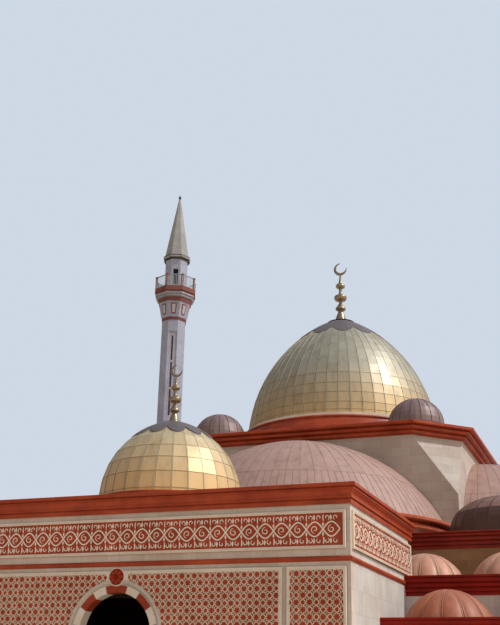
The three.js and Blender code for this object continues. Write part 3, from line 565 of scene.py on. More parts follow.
# %% Sheet metal
def sheet_metal(
    name, light, dark, roughness, metallic, patch=0.5, soil="4a3a30", soiling=0.4, coat=0.0, warm=None,
):
    """Sheets in tones between light and dark. Coat is a layer of clear gloss. Warm is a colour that
    takes over towards the foot of the dome, with the heights between which it does."""
    material, tree, shader, place = new_finish(name, roughness, metallic)
    shader.inputs["Coat Weight"].default_value = coat
    shader.inputs["Coat Roughness"].default_value = 0.2
    tone = add(tree, "ShaderNodeAttribute", attribute_name="tone").outputs["Fac"]
    patches = mixed(tree, tone, colour(dark), colour(light))
    even = mixed(tree, 0.5, colour(dark), colour(light))
    base = mixed(tree, patch, even, patches)
    if warm:
        tint, foot, crown = warm
        height = add(tree, "ShaderNodeSeparateXYZ", {"Vector": place.outputs["Object"]}).outputs["Z"]
        base = mixed(tree, ramp_of(tree, height, foot * M, crown * M), colour(tint), base)
    weather = noise(tree, place.outputs["Object"], 1.8, 6.0)
    runs = noise(tree, place.outputs["Object"], 4.0, 5.0, (1.0, 1.0, 0.15))
    spots = ramp_of(tree, runs, 0.5, 0.8)
    amount = maths(tree, "MULTIPLY", spots, soiling)
    soiled = mixed(tree, amount, base, colour(soil))
    tree.links.new(soiled, shader.inputs["Base Color"])
    gloss = add(tree, "ShaderNodeMapRange", {
        "Value": weather, "From Min": 0.25, "From Max": 0.75,
        "To Min": roughness - 0.06, "To Max": roughness + 0.1,
    })
    tree.links.new(gloss.outputs["Result"], shader.inputs["Roughness"])
    bumped(tree, shader, noise(tree, place.outputs["Object"], 5.0, 3.0), 0.12, 0.02 * M)
    return material


gilt = sheet_metal(
    "gilt", "b9b09b", "9d9177", 0.5, 0.45, soil="6a5440", coat=0.2, warm=("d0aa72", 21, 25.5),
)
# A paler gilt for the standing seams, where they catch the light: painted highlight.
gilt_seam_highlight = sheet_metal("gilt_seam_highlight", "ddd2b4", "cbbd98", 0.42, 0.4, 0.0)
# A dark gilt for the strips beside the seams and the rings at the laps: painted shadow.
gilt_seam_shadow = sheet_metal("gilt_seam_shadow", "94825c", "7a6845", 0.5, 0.4, 0.0)
warm_gilt = sheet_metal(
    "warm_gilt", "dfc89e", "c4a87a", 0.45, 0.35, soil="7a5236", coat=0.4, warm=("ecbc7c", 10.3, 13.2),
)
polished_gilt = sheet_metal("polished_gilt", "b5a68a", "8a7350", 0.38, 0.75, 0.0)
cap_lead = sheet_metal("cap_lead", "7f7271", "5f5352", 0.5, 0.25, 0.0)
pink_sheet = sheet_metal("pink_sheet", "bc9686", "ab8574", 0.6, 0.05, 0.6)
pink_seam = sheet_metal("pink_seam", "a58072", "957163", 0.6, 0.05, 0.0)
rib_sheet = sheet_metal("rib_sheet", "d99d7d", "c4886a", 0.55, 0.05, 0.5)
# Paler ribs, where they catch the light: painted highlight. A darker line in the gap between them: painted
# shade.
rib_highlight = sheet_metal("rib_highlight", "dcb598", "c99c7e", 0.5, 0.05, 0.0)
rib_gap_shade = sheet_metal("rib_gap_shade", "9c6450", "844e3c", 0.6, 0.05, 0.0)
brown_sheet = sheet_metal("brown_sheet", "6a4133", "513026", 0.5, 0.1, 0.7)
porch_sheet = sheet_metal("porch_sheet", "b86e4b", "a25c3c", 0.55, 0.05, 0.5)
# The ribs of the porch domes are paler too: painted highlight.
porch_rib_highlight = sheet_metal("porch_rib_highlight", "c58465", "ad6d50", 0.5, 0.05, 0.0)
# A lighter brown for the crowns of the corner domes, where the sun falls: painted sunlight.
sunlit_brown_crown = sheet_metal("sunlit_brown_crown", "9c7464", "835d4d", 0.5, 0.1, 0.6)
brown_seam = sheet_metal("brown_seam", "6e4f46", "54382f", 0.55, 0.15, 0.0)
small_sheet = sheet_metal("small_sheet", "947870", "7d635c", 0.5, 0.15, 0.5)
spire_sheet = sheet_metal("spire_sheet", "8f8f87", "7f7f78", 0.5, 0.2, 0.5)
print("sheet metals:", gilt.name, warm_gilt.name, pink_sheet.name, rib_sheet.name, brown_sheet.name)

# %% [markdown]
# Rails, glass and the depth behind openings need little: two tones of a dull paint. They are still
# broken up by a noise, because nothing outdoors is even.

# %% Paint and shadow
def dull_paint(name, light, dark, roughness):
    material, tree, shader, place = new_finish(name, roughness, specular=0.3)
    specks = noise(tree, place.outputs["Object"], 6.0, 4.0)
    tree.links.new(mixed(tree, specks, colour(dark), colour(light)), shader.inputs["Base Color"])
    return material


rail_paint = dull_paint("rail_paint", "4a4f52", "2f3336", 0.5)
handrail_paint = dull_paint("handrail_paint", "a3aeb4", "838f95", 0.5)
slit_glass = dull_paint("slit_glass", "2c3a58", "1d2740", 0.15)
inner_shade = dull_paint("inner_shade", "3a2a22", "2a1d17", 0.95)
baluster_paint = dull_paint("baluster_paint", "c9cdca", "aeb3b1", 0.6)
groove_shade = dull_paint("groove_shade", "524943", "38312d", 0.9)
print("paints:", rail_paint.name, baluster_paint.name, groove_shade.name)

# %% [markdown]
# Most of the frame's walls are right as they are: flat masonry with their openings cut. They keep
# their shape and only take a finish. The square block under the main dome gets its own rougher stone.

# %% Finish the plain walls
def finish_nodes(finish, *names):
    for name in names:
        node_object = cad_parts[name]
        node_object.data.materials.clear()
        node_object.data.materials.append(finish)


SIDES = ("right", "left")
SIGNED_SIDES = (("right", 1), ("left", -1))
# The front wall takes the warmer copy of the wall stone: painted warm shade.
finish_nodes(shaded_front_stone, "entrance_front_wall")
finish_nodes(
    wall_stone, "entrance_right_wall", "entrance_left_wall",
    "hall_rear_wall", "hall_right_wall", "hall_left_wall", "floor_slab",
    *(f"porch_{side}_arcade" for side in SIDES), *(f"aisle_{side}_wall" for side in SIDES),
)
finish_nodes(block_stone, "base_block")
# The hall's front wall takes the brown stone: painted shade.
finish_nodes(hall_front_shade_stone, "hall_front_wall")
finish_nodes(inner_shade, "entrance_rear_wall")
finish_nodes(roof_screed, "entrance_roof", "base_roof")
finish_nodes(red_stone, "frieze_panel_front", *(f"frieze_panel_{side}" for side in SIDES))
finish_nodes(ground_stone, *(f"screen_{which}_{side}" for side in SIDES for which in ("inner", "outer")))
print("walls and roofs finished")

# %% [markdown]
# Each storey ends in a cornice of red stone. A mason cuts its profile along every block: small steps
# and grooves that catch light above and throw a dark line below. So the profile is drawn once, as
# points out from the wall and up, and run round the building with mitred corners.

# %% Cornices of the entrance block and the hall
def cornice(name, path, profile, finish, closed=True):
    made = moulding(name, real(path), real(profile), closed=closed)
    return put_away(made, finish, [name])


ENTRANCE_FRONT, ENTRANCE_REAR, ENTRANCE_HALF = -36.5, -25.04, 10.57
HALL_HALF, HALL_DEPTH = 22.3, 20.73
ENTRANCE_WALL_TOP, HALL_WALL_TOP = 8.98, 9.15


def loop_at(z, half, front, rear):
    """A path round a rectangular block at this height."""
    return [(-half, front, z), (half, front, z), (half, rear, z), (-half, rear, z)]


entrance_path = loop_at(ENTRANCE_WALL_TOP, ENTRANCE_HALF, ENTRANCE_FRONT, ENTRANCE_REAR)
entrance_profile = [
    (-0.5, 0), (0.07, 0), (0.07, 0.17), (0.02, 0.18), (0.02, 0.22), (0.12, 0.235), (0.12, 0.3),
    (0.08, 0.31), (0.09, 0.4), (0.13, 0.5), (0.18, 0.56), (0.24, 0.6), (0.24, 0.64), (0.17, 0.65),
    (0.17, 0.69), (0.28, 0.70), (0.3, 0.72), (0.3, 0.84), (0.28, 0.86), (-0.5, 0.86),
]
cornice("entrance_cornice", entrance_path, entrance_profile, red_stone)

hall_path = loop_at(HALL_WALL_TOP, HALL_HALF, -HALL_DEPTH, HALL_DEPTH)
hall_profile = [
    (-0.5, 0), (0.07, 0), (0.07, 0.12), (0.02, 0.13), (0.02, 0.18), (0.15, 0.2), (0.16, 0.32), (0.1, 0.33),
    (0.1, 0.39), (0.26, 0.42), (0.28, 0.55), (0.2, 0.56), (0.2, 0.62), (0.36, 0.65), (0.38, 0.76),
    (0.32, 0.77), (0.32, 0.79), (0.43, 0.8), (0.45, 0.82), (0.45, 0.88), (0.43, 0.9), (-0.5, 0.9),
]
cornice("hall_cornice", hall_path, hall_profile, hall_red)

# %% [markdown]
# The lower wings carry the same cornice at their own size, open at the end where they meet the taller
# block. The left side is the mirror of the right, so one path gives both. The octagonal base of the
# main dome has a cornice of three flat bands, each standing further out than the one below.

# %% Cornices of the wings and of the dome's base
def wing_path(side, inner, outer, front, rear, z):
    path = [(inner, front, z), (outer, front, z), (outer, rear, z)]
    return path if side == "right" else [(-x, y, up) for x, y, up in reversed(path)]


def wing_profile(height, reach):
    """The steps of the profile as shares of its height and reach, on a wall 0.4 m thick."""
    steps = [
        (0.1, 0), (0.1, 0.13), (0.02, 0.14), (0.02, 0.18), (0.34, 0.2), (0.36, 0.32), (0.2, 0.33),
        (0.2, 0.38), (0.56, 0.42), (0.6, 0.56), (0.42, 0.57), (0.42, 0.62), (0.8, 0.66), (0.84, 0.84),
        (0.7, 0.85), (0.7, 0.88), (0.97, 0.89), (1, 0.91), (1, 0.98), (0.97, 1),
    ]
    return [(-0.4, 0), *[(out * reach, up * height) for out, up in steps], (-0.4, height)]


AISLE_FRONT, AISLE_WALL_TOP = -26.45, 6.16
PORCH_HALF, PORCH_FRONT, PORCH_WALL_TOP = 21.6, -31.6, 3.9
for side in SIDES:
    path = wing_path(side, ENTRANCE_HALF, HALL_HALF, AISLE_FRONT, -HALL_DEPTH, AISLE_WALL_TOP)
    cornice(f"aisle_{side}_cornice", path, wing_profile(0.95, 0.3), deep_red_stone, closed=False)
    path = wing_path(side, ENTRANCE_HALF, PORCH_HALF, PORCH_FRONT, AISLE_FRONT, PORCH_WALL_TOP)
    cornice(f"porch_{side}_cornice", path, wing_profile(0.88, 0.28), deep_red_stone, closed=False)

BASE_HALF, BASE_FLAT, BASE_WALL_TOP = 10.85, 7.91, 18.19
octagon = [
    (-BASE_FLAT, -BASE_HALF), (BASE_FLAT, -BASE_HALF), (BASE_HALF, -BASE_FLAT), (BASE_HALF, BASE_FLAT),
    (BASE_FLAT, BASE_HALF), (-BASE_FLAT, BASE_HALF), (-BASE_HALF, BASE_FLAT), (-BASE_HALF, -BASE_FLAT),
]
base_profile = [
    (-0.9, 0), (0.06, 0), (0.06, 0.04), (0.25, 0.06), (0.29, 0.08), (0.29, 0.24), (0.2, 0.255),
    (0.2, 0.31), (0.53, 0.33), (0.58, 0.36), (0.58, 0.52), (0.47, 0.535), (0.47, 0.59), (0.82, 0.61),
    (0.87, 0.64), (0.87, 0.8), (0.84, 0.83), (-0.9, 0.83),
]
cornice("base_cornice", [(x, y, BASE_WALL_TOP) for x, y in octagon], base_profile, red_stone)

# %% [markdown]
# Between the frieze and the carved screens a slim round roll of red stone runs along the front and
# both sides. It is half a circle in section, so its profile comes from a sine and a cosine.

# %% String course
STRING_LOW, STRING_END = 6.66, -26.75
turns = [math.pi * i / 8 for i in range(9)]
roll_profile = [(-0.03, 0), *[(0.1 * math.sin(t), 0.11 - 0.11 * math.cos(t)) for t in turns], (-0.03, 0.22)]
string_path = [
    (-ENTRANCE_HALF, STRING_END, STRING_LOW), (-ENTRANCE_HALF, ENTRANCE_FRONT, STRING_LOW),
    (ENTRANCE_HALF, ENTRANCE_FRONT, STRING_LOW), (ENTRANCE_HALF, STRING_END, STRING_LOW),
]
cornice("entrance_string_course", string_path, roll_profile, red_stone, closed=False)

# %% [markdown]
# Cream frames hold the carved panels and the frieze. A frame is a moulding too, only it runs round a
# rectangle on the wall, so its height points out of the wall. The big panel is open at the bottom,
# where the portal passes through it.

# %% Cream frames
TO_FRONT = Vector((0, -1, 0))
frame_profile = [
    (-0.16, -0.01), (-0.16, 0.075), (-0.135, 0.1), (-0.11, 0.11), (-0.075, 0.085), (-0.045, 0.11),
    (-0.015, 0.1), (0, 0.08), (0, -0.01),
]
slim_profile = [(out * 0.8, up) for out, up in frame_profile]


SCREEN_LOW, SCREEN_HIGH, FRIEZE_LOW, FRIEZE_HIGH = 1.2, 6.48, 7.17, 8.75


def rectangle(left, right, low, high):
    return [(left, low), (right, low), (right, high), (left, high)]


def upright_frame(name, corners, profile, closed=True):
    path = [(x, ENTRANCE_FRONT, z) for x, z in corners]
    made = moulding(name, real(path), real(profile), lift=TO_FRONT, closed=closed)
    return put_away(made, cream_stone)


upright_frame("screen_frame_middle", [
    (2.1, SCREEN_LOW), (7.65, SCREEN_LOW), (7.65, SCREEN_HIGH),
    (-7.65, SCREEN_HIGH), (-7.65, SCREEN_LOW), (-2.1, SCREEN_LOW),
], frame_profile, closed=False)
upright_frame("screen_frame_right", rectangle(7.85, 10.4, SCREEN_LOW, SCREEN_HIGH), frame_profile)
upright_frame("screen_frame_left", rectangle(-10.4, -7.85, SCREEN_LOW, SCREEN_HIGH), frame_profile)
upright_frame("frieze_frame_front", rectangle(-10.4, 10.4, FRIEZE_LOW, FRIEZE_HIGH), slim_profile)

for side, sign in SIGNED_SIDES:
    corners = [(sign * ENTRANCE_HALF, y, z) for y, z in rectangle(-36.3, -25.3, FRIEZE_LOW, FRIEZE_HIGH)]
    if sign < 0:
        corners.reverse()
    made = moulding(f"frieze_frame_{side}", real(corners), real(slim_profile), lift=(sign, 0, 0))
    put_away(made, cream_stone)

# %% [markdown]
# The gilded domes are built of flat sheets, 52 to a ring on the main dome and 28 on the front one.
# Each row laps over the one below, so the profile steps out a little at every seam. A lathe turned in
# so few steps keeps the sheets flat, and flat sheets give the blocky glints that a real one has.

# %% Gilded domes
def dome_arc(radius, offset, spring, low, high, rows):
    """Points (radius, height) of a pointed dome from low to high, evenly spaced along its curve."""
    reach = radius + offset
    start, end = (math.asin((z - spring) / reach) for z in (low, high))
    turns = [start + (end - start) * i / rows for i in range(rows + 1)]
    return [(reach * math.cos(t) - offset, spring + reach * math.sin(t)) for t in turns]


def lapped(arc, lap, rows):
    """The same curve with its lowest rows as sheets, each standing out over the one above."""
    points = []
    for (r0, z0), (r1, z1) in zip(arc[:rows], arc[1:]):
        points += [(r0, z0), (r1 - lap, z1)]
    return points + arc[rows:]


def set_tones(piece, seed):
    """Gives each face a tone of its own, for the finish to read."""
    chance = random.Random(seed)
    tones = piece.data.attributes.new("tone", "FLOAT", "FACE")
    for item in tones.data:
        item.value = min(1.0, max(0.0, chance.gauss(0.5, 0.27)))


def give(piece, finish, wanted):
    """A further finish for the faces for which wanted(centre, normal) is true."""
    choose_faces(piece, wanted)
    bpy.ops.object.material_slot_add()
    bpy.context.object.active_material = finish
    bpy.ops.object.material_slot_assign()
    bpy.ops.object.mode_set(mode="OBJECT")
    clear_selection()


def gilded_dome(name, centre, arc, shell, steps, seed, finish):
    outer = lapped(arc, 0.008, LAPPED_ROWS[name])
    inner = [(max(r - shell, 0.03), z - shell * 0.4) for r, z in reversed(arc[::2])]
    inner[-1] = (arc[0][0] - shell, arc[0][1])
    profile = outer + [(0.1, outer[-1][1]), (0.1, outer[-1][1] - shell)] + inner[1:]
    dome = turned(name, real(profile), steps, centre=[c * M for c in centre])
    set_tones(dome, seed)
    return put_away(dome, finish, [name])


FRONT_DOME_Y = -31.57
MAIN_CENTRE, FRONT_CENTRE = (0, 0), (0, FRONT_DOME_Y)
MAIN_TOP, FRONT_TOP = 31.03, 14.36
MAIN_GORES, FRONT_GORES = 52, 28
MAIN_CURVE, MAIN_LAPS = (7.65, 4.12, 20.25), (21.1, 21.41, 22.02, 22.83, 23.63, 24.51, 25.37)
FRONT_CURVE, FRONT_LAPS = (3.55, 0.6, 10.32), (10.3, 10.45, 11.26, 11.99, 12.64)
LAPPED_ROWS = {"main_dome": 5, "front_dome": 4}


def rows_of(curve, laps, crown, count):
    """Rows of sheets between the given heights, and evenly turned rows from the last one up."""
    low_rows = [dome_arc(*curve, z, crown, 1)[0] for z in laps[:-1]]
    return low_rows + dome_arc(*curve, laps[-1], crown, count)


main_arc = rows_of(MAIN_CURVE, MAIN_LAPS, MAIN_TOP, 10)
front_arc = rows_of(FRONT_CURVE, FRONT_LAPS, FRONT_TOP, 4)
gilded_dome("main_dome", MAIN_CENTRE, main_arc, 0.25, MAIN_GORES, 11, gilt)
gilded_dome("front_dome", FRONT_CENTRE, front_arc, 0.18, FRONT_GORES, 12, warm_gilt)

# %% [markdown]
# Standing seams run up between the sheets. One seam is a thin strip cut to the dome's curve, and a
# spin with duplicates sets its copies round the dome. Beside it runs a dark strip, a painted shadow of
# the fold, and thin dark rings paint the shadow where one row laps over the next.

# %% Seams of the gilded domes
SEAM_SINK = 0.03


def upright_strip(name, arc, width, proud, sunk, centre=(0, 0), aside=0.0):
    """A thin strip up the curve of a dome. Proud and sunk are how far its two edges lie off the
    curve, out and up, and aside moves it along the ring."""
    outline = [(r + proud[0], z + proud[1]) for r, z in arc]
    outline += [(max(r - sunk[0], 0.02), z - sunk[1]) for r, z in reversed(arc)]
    cx, cy = (c * M for c in centre)
    points = [(cx + r * M, cy + (aside - width / 2) * M, z * M) for r, z in outline]
    return extruded(name, points, (0, width * M, 0))


def seam_strip(name, arc, width, proud, centre, count, finish, aside=0.0):
    """A ring of thin strips up a gilded dome."""
    edges = (proud, proud * 0.4), (SEAM_SINK, SEAM_SINK * 0.3)
    strip = upright_strip(name, arc, width, *edges, centre, aside)
    ring_of(strip, count, centre=spot(*centre))
    return put_away(strip, finish)


def lap_rings(name, arc, centre, steps, tall=0.02, proud=0.006):
    """A slim dark ring on the dome at every lap, in as many flats as the dome has: painted shadow of the
    lap.
    """
    rings = []
    for r, z in arc[1:-1]:
        rings.append(turned("lap_ring", real([
            (r - 0.03, z - tall), (r + proud + 0.004, z - tall), (r + proud, z), (r - 0.03, z),
        ]), steps, centre=[c * M for c in centre]))
    return put_away(joined(name, rings), gilt_seam_shadow)


# The standing seams are a paler gilt: painted highlight.
seam_strip("main_dome_seams", main_arc[:-1], 0.03, 0.03, MAIN_CENTRE, MAIN_GORES, gilt_seam_highlight)
# The dark strips beside the seams and the dark rings at the laps are painted shadow.
seam_strip("main_dome_fold_shadows", main_arc[:-1], 0.025, 0.008, MAIN_CENTRE, MAIN_GORES, gilt_seam_shadow, aside=0.028)
lap_rings("main_dome_lap_shadows", main_arc[:7], MAIN_CENTRE, MAIN_GORES)
seam_strip("front_dome_seams", front_arc[:-1], 0.022, 0.016, FRONT_CENTRE, FRONT_GORES, gilt_seam_highlight)
seam_strip("front_dome_fold_shadows", front_arc[:-1], 0.02, 0.006, FRONT_CENTRE, FRONT_GORES, gilt_seam_shadow, aside=0.02)
lap_rings("front_dome_lap_shadows", front_arc[:6], FRONT_CENTRE, FRONT_GORES, tall=0.018, proud=0.005)

# %% [markdown]
# The drum under a dome is a stack of turned mouldings. It is drawn once as a profile and spun, like
# the dome, but in many more steps so that it reads as round. The top fillet of the main drum is cream
# stone, so those faces get a second finish by their height.

# %% Drums under the gilded domes
def turned_piece(name, profile, steps, centre, finish, nodes=(), crease=None):
    made = turned(name, real(profile), steps, centre=[c * M for c in centre])
    return put_away(made, finish, nodes, crease)


main_drum = turned_piece("main_drum", [
    (7.2, 19.27), (8.46, 19.27), (8.5, 19.3), (8.5, 19.58), (8.46, 19.61), (8.4, 19.62), (8.4, 19.67),
    (8.47, 19.68), (8.5, 19.72), (8.5, 19.88), (8.47, 19.92), (8.36, 19.94), (8.36, 20.0), (8.3, 20.02),
    (8.06, 20.6), (8.0, 20.62), (8.0, 20.68), (8.05, 20.7), (8.08, 20.76), (8.05, 20.84), (7.98, 20.87),
    (7.86, 20.88), (7.86, 21.08), (7.8, 21.1), (7.2, 21.1),
], 128, MAIN_CENTRE, red_stone, ["main_drum"], crease=35)
give(main_drum, cream_stone, lambda centre, normal: centre.z > 20.88 * M)

turned_piece("front_dome_drum", [
    (3.3, 9.5), (3.85, 9.5), (3.85, 9.9), (3.82, 9.98), (3.74, 10.02), (3.7, 10.03), (3.7, 10.08),
    (3.66, 10.1), (3.66, 10.26), (3.62, 10.3), (3.3, 10.3),
], 96, FRONT_CENTRE, red_stone, ["front_dome_drum"], crease=35)

# %% [markdown]
# A finial stands on each gilded dome: a bell foot, a pear, a disc and a ball on one thin stem, spun
# from a profile, and a crescent at the top. The crescent is the space between two arcs of circles whose
# centres lie apart: both arcs are drawn, bridged to a strip and given their thickness.

# %% Finials
def arc_points(centre, radius, start, end, count):
    cx, cz = centre
    turns = [math.radians(start + (end - start) * i / count) for i in range(count + 1)]
    return [(cx + radius * math.cos(t), cz + radius * math.sin(t)) for t in turns]


def crescent(name, centre, foot, scale, y):
    """A crescent that opens to the upper right, standing on its stem at this height."""
    outer, inner, shift, opening = 0.56 * scale, 0.46 * scale, 0.13 * scale, 50.4
    turn = math.radians(opening)
    middle = (centre, foot + outer)
    inside = (centre + shift * math.cos(turn), foot + outer + shift * math.sin(turn))
    chains = []
    for arc in (arc_points(middle, outer, opening + 40, opening + 320, 36),
                arc_points(inside, inner, opening + 50, opening + 310, 36)):
        chains.append(drawn(name, [(x * M, (y - 0.06 * scale) * M, z * M) for x, z in arc]))
    made = joined(name, chains)
    edit(made)
    bpy.ops.mesh.bridge_edge_loops()
    bpy.ops.mesh.select_all(action="SELECT")
    bpy.ops.mesh.extrude_region_move(TRANSFORM_OT_translate={"value": Vector((0, 0.12 * scale * M, 0))})
    return faced_out(made)


def finial(name, scale, bottom, y):
    stem = [
        (0, 0), (0.52, 0), (0.52, 0.06), (0.48, 0.1), (0.44, 0.16), (0.42, 0.3), (0.4, 0.45), (0.36, 0.5),
        (0.36, 0.54), (0.33, 0.62), (0.26, 0.8), (0.2, 0.92), (0.17, 0.98), (0.2, 1.0), (0.34, 1.05),
        (0.43, 1.13), (0.44, 1.2), (0.4, 1.3), (0.31, 1.42), (0.22, 1.56), (0.14, 1.7), (0.11, 1.8),
        (0.14, 1.86), (0.22, 1.9), (0.42, 1.96), (0.5, 2.04), (0.51, 2.1), (0.53, 2.14), (0.53, 2.3),
        (0.49, 2.36), (0.38, 2.43), (0.24, 2.5), (0.17, 2.58), (0.14, 2.66), (0.12, 2.8), (0.14, 3.02),
        (0.24, 3.08), (0.36, 3.16), (0.4, 3.28), (0.37, 3.38), (0.28, 3.48), (0.17, 3.54), (0.15, 3.58),
        (0.12, 3.8), (0.08, 4.1), (0.06, 4.3), (0, 4.34),
    ]
    profile = [(r * scale, bottom + z * scale) for r, z in stem]
    turned_stem = turned(name, real(profile), 40, centre=(0, y * M))
    moon = crescent(name + "_crescent", 0, bottom + 4.3 * scale, scale, y)
    whole = joined(name, [turned_stem, moon])
    return put_away(whole, polished_gilt, [name], crease=40)


FRONT_FINIAL_SCALE = 0.58
finial("main_finial", 1.0, MAIN_TOP, 0)
finial("front_finial", FRONT_FINIAL_SCALE, FRONT_TOP, FRONT_DOME_Y)

# %% [markdown]
# Lead caps cover the meeting point of the sheets, and a low cone of lead closes each one at the foot of
# the finial. The edge of a cap is cut in deep scallops. The cap is spun as a thin shell, and then its
# points are drawn in by a cosine and set back on the curve of the dome, which is quicker than cutting
# each scallop.

# %% Lead caps
def lead_cap(name, curve_of, reach, centre, steps, scallops, depth, turn):
    """A thin cap on the dome given as (radius, offset, spring); depth is how far the scallops go in,
    and turn is the way that the tip of one scallop points."""
    radius, offset, spring = curve_of

    def height(r):
        return spring + math.sqrt((radius + offset) ** 2 - (r + offset) ** 2)

    ways = [reach * i / 10 for i in range(10, 0, -1)]
    outer = [(r, height(r) + 0.055) for r in ways] + [(0.02, height(0) + 0.055)]
    inner = [(0.02, height(0) - 0.02)] + [(r, height(r) - 0.02) for r in reversed(ways)]
    cap = turned(name, real(outer + inner), steps, centre=[c * M for c in centre])
    shape = bmesh.new()
    shape.from_mesh(cap.data)
    cx, cy = (c * M for c in centre)
    for point in shape.verts:
        x, y = point.co.x - cx, point.co.y - cy
        r = math.hypot(x, y) / M
        lift = point.co.z / M - height(r)
        wave = 1 - abs(math.cos(scallops / 2 * (math.atan2(y, x) - math.radians(turn)))) ** 0.8
        narrower = 1 - wave * depth / reach * (r / reach) ** 2
        point.co = (cx + x * narrower, cy + y * narrower, (height(r * narrower) + lift) * M)
    shape.to_mesh(cap.data)
    shape.free()
    return put_away(cap, cap_lead, crease=30)


lead_cap("main_dome_cap", MAIN_CURVE, 3.9, MAIN_CENTRE, 144, 12, 0.8, -71)
lead_cap("front_dome_cap", FRONT_CURVE, 2.15, FRONT_CENTRE, 144, 12, 0.45, -90)
COLLAR = [(0.3, -0.08), (1.15, -0.08), (0.95, -0.02), (0.78, 0.05), (0.66, 0.13), (0.6, 0.17), (0.3, 0.17)]
for where, bottom, centre, size in (
    ("main", 31.0, MAIN_CENTRE, 1), ("front", 14.34, FRONT_CENTRE, FRONT_FINIAL_SCALE),
):
    collar = [(r * size, bottom + z * size) for r, z in COLLAR]
    turned_piece(f"{where}_finial_collar", collar, 48, centre, cap_lead, crease=30)

# %% [markdown]
# Four half domes lean against the square base. Each one has three parts, and each part is a half turn
# of one profile: a low stone drum, a cornice and the pink sheet roof. A part is modelled once, at the
# back, and its copies are turned to the other three sides.

# %% Half domes
SHEET_RADIUS, SHEET_CENTRE, LEVEL_SEAM = 11.26, 6.72, 14.5
AGAINST = 10.853


def sheet_arc(low, high, count):
    start, end = (math.asin((z - SHEET_CENTRE) / SHEET_RADIUS) for z in (low, high))
    turns = [start + (end - start) * i / count for i in range(count + 1)]
    return [(SHEET_RADIUS * math.cos(t), SHEET_CENTRE + SHEET_RADIUS * math.sin(t)) for t in turns]


def half_turn(name, profile, steps):
    """Half a turn of a closed profile, with its two cut faces filled."""
    made = turned(name, real(profile), steps, sweep=-math.pi)
    edit(made)
    bpy.ops.mesh.fill_holes(sides=0)
    return faced_out(made)


def on_each_side(piece, name, finish, node=None, crease=None):
    """Moves a piece made about the origin against the base, and copies it to all four sides."""
    for side, turn in (("rear", 0), ("left", 90), ("front", 180), ("right", 270)):
        one = copy_of(piece, f"{name}_{side}")
        swing = Matrix.Rotation(math.radians(turn), 4, "Z")
        one.matrix_world = swing @ Matrix.Translation((0, AGAINST * M, 0))
        put_away(one, finish, [f"{node}_{side}"] if node else (), crease)
    bpy.data.objects.remove(piece)


lower_sheet = sheet_arc(11.8, LEVEL_SEAM, 5)
upper_sheet = sheet_arc(LEVEL_SEAM, 17.97, 9)
half_drum = half_turn("half_dome_drum", [(9.4, 10.05), (10.0, 10.05), (10.0, 11.1), (9.4, 11.1)], 48)
on_each_side(half_drum, "half_dome_drum", block_stone, crease=30)
half_cornice = half_turn("half_dome_cornice", [
    (9.4, 11.06), (10.2, 11.06), (10.24, 11.1), (10.46, 11.12), (10.5, 11.15), (10.5, 11.32),
    (10.46, 11.36), (10.22, 11.38), (10.18, 11.42), (10.18, 11.5), (10.3, 11.55), (10.66, 11.57),
    (10.72, 11.59), (10.76, 11.62), (10.76, 11.77), (10.73, 11.8), (9.4, 11.8),
], 64)
# The cornices of the half domes take the lighter red: painted sunlight.
on_each_side(half_cornice, "half_dome_cornice", sunlit_half_dome_red, crease=30)

sheet_profile = lower_sheet + [(upper_sheet[0][0] + 0.015, upper_sheet[0][1])] + upper_sheet[1:]
sheet_inside = [(max(r - 0.25, 0.01), z - 0.2) for r, z in reversed(lower_sheet + upper_sheet[1:])]
sheet_inside[-1] = (9.75, 11.8)
half_sheet = half_turn("half_dome_sheet", sheet_profile + sheet_inside, 60)
set_tones(half_sheet, 21)
on_each_side(half_sheet, "half_dome_sheet", pink_sheet, "semi_dome", crease=20)

# %% [markdown]
# The pink sheet is laid in narrow strips that run up to the crown. Twice as many strips start at the
# eaves as reach the top: at the one level seam every other standing seam stops.

# %% Seams of the half domes
def standing_seams(name, arc, count, width=0.025, proud=0.01):
    """Thin strips up the sheet through half a turn, cut off flat against the base."""
    strip = upright_strip(name, arc, width, (proud, proud), (SEAM_SINK, SEAM_SINK))
    edit(strip)
    bpy.ops.mesh.spin(steps=count, dupli=True, angle=-math.pi, center=(0, 0, 0), axis=(0, 0, 1))
    edit(strip)
    bpy.ops.mesh.bisect(plane_co=(0, 0.001, 0), plane_no=(0, -1, 0), clear_outer=True, use_fill=True)
    bpy.ops.object.mode_set(mode="OBJECT")
    return strip


low_seams = standing_seams("half_dome_low_seams", lower_sheet, 60)
high_seams = standing_seams("half_dome_high_seams", upper_sheet[:-1], 30)
on_each_side(joined("half_dome_seams", [low_seams, high_seams]), "half_dome_seams", pink_seam)

# %% [markdown]
# The wings are roofed with rows of ribbed domes, like melons: twelve swelling lobes with a pair of
# ribs in each valley. One dome is spun in 96 steps and each point is drawn in towards the axis where
# a valley runs. The ribs are strips cut to the curve of the valley, in a paler sheet, a painted
# highlight, with a dark strip between them, a painted shade in the gap between the ribs.

# %% One ribbed dome
LOBES = 12


def lobed(angle):
    """How far out the surface stands at this angle: 1 on a lobe, less in a valley."""
    return 0.945 + 0.055 * abs(math.sin(LOBES * angle / 2)) ** 0.6


def rising_curve(radius, rise, end, count):
    """Points (radius, height) from the foot of a dome up to this many degrees."""
    turns = [math.radians(end * i / count) for i in range(count + 1)]
    return [(radius * math.cos(t), rise * math.sin(t)) for t in turns]


RIBS = ((-1.5, 0.958, 0.035, 0.025), (1.5, 0.958, 0.035, 0.025), (0, 0.95, 0.03, 0.012))


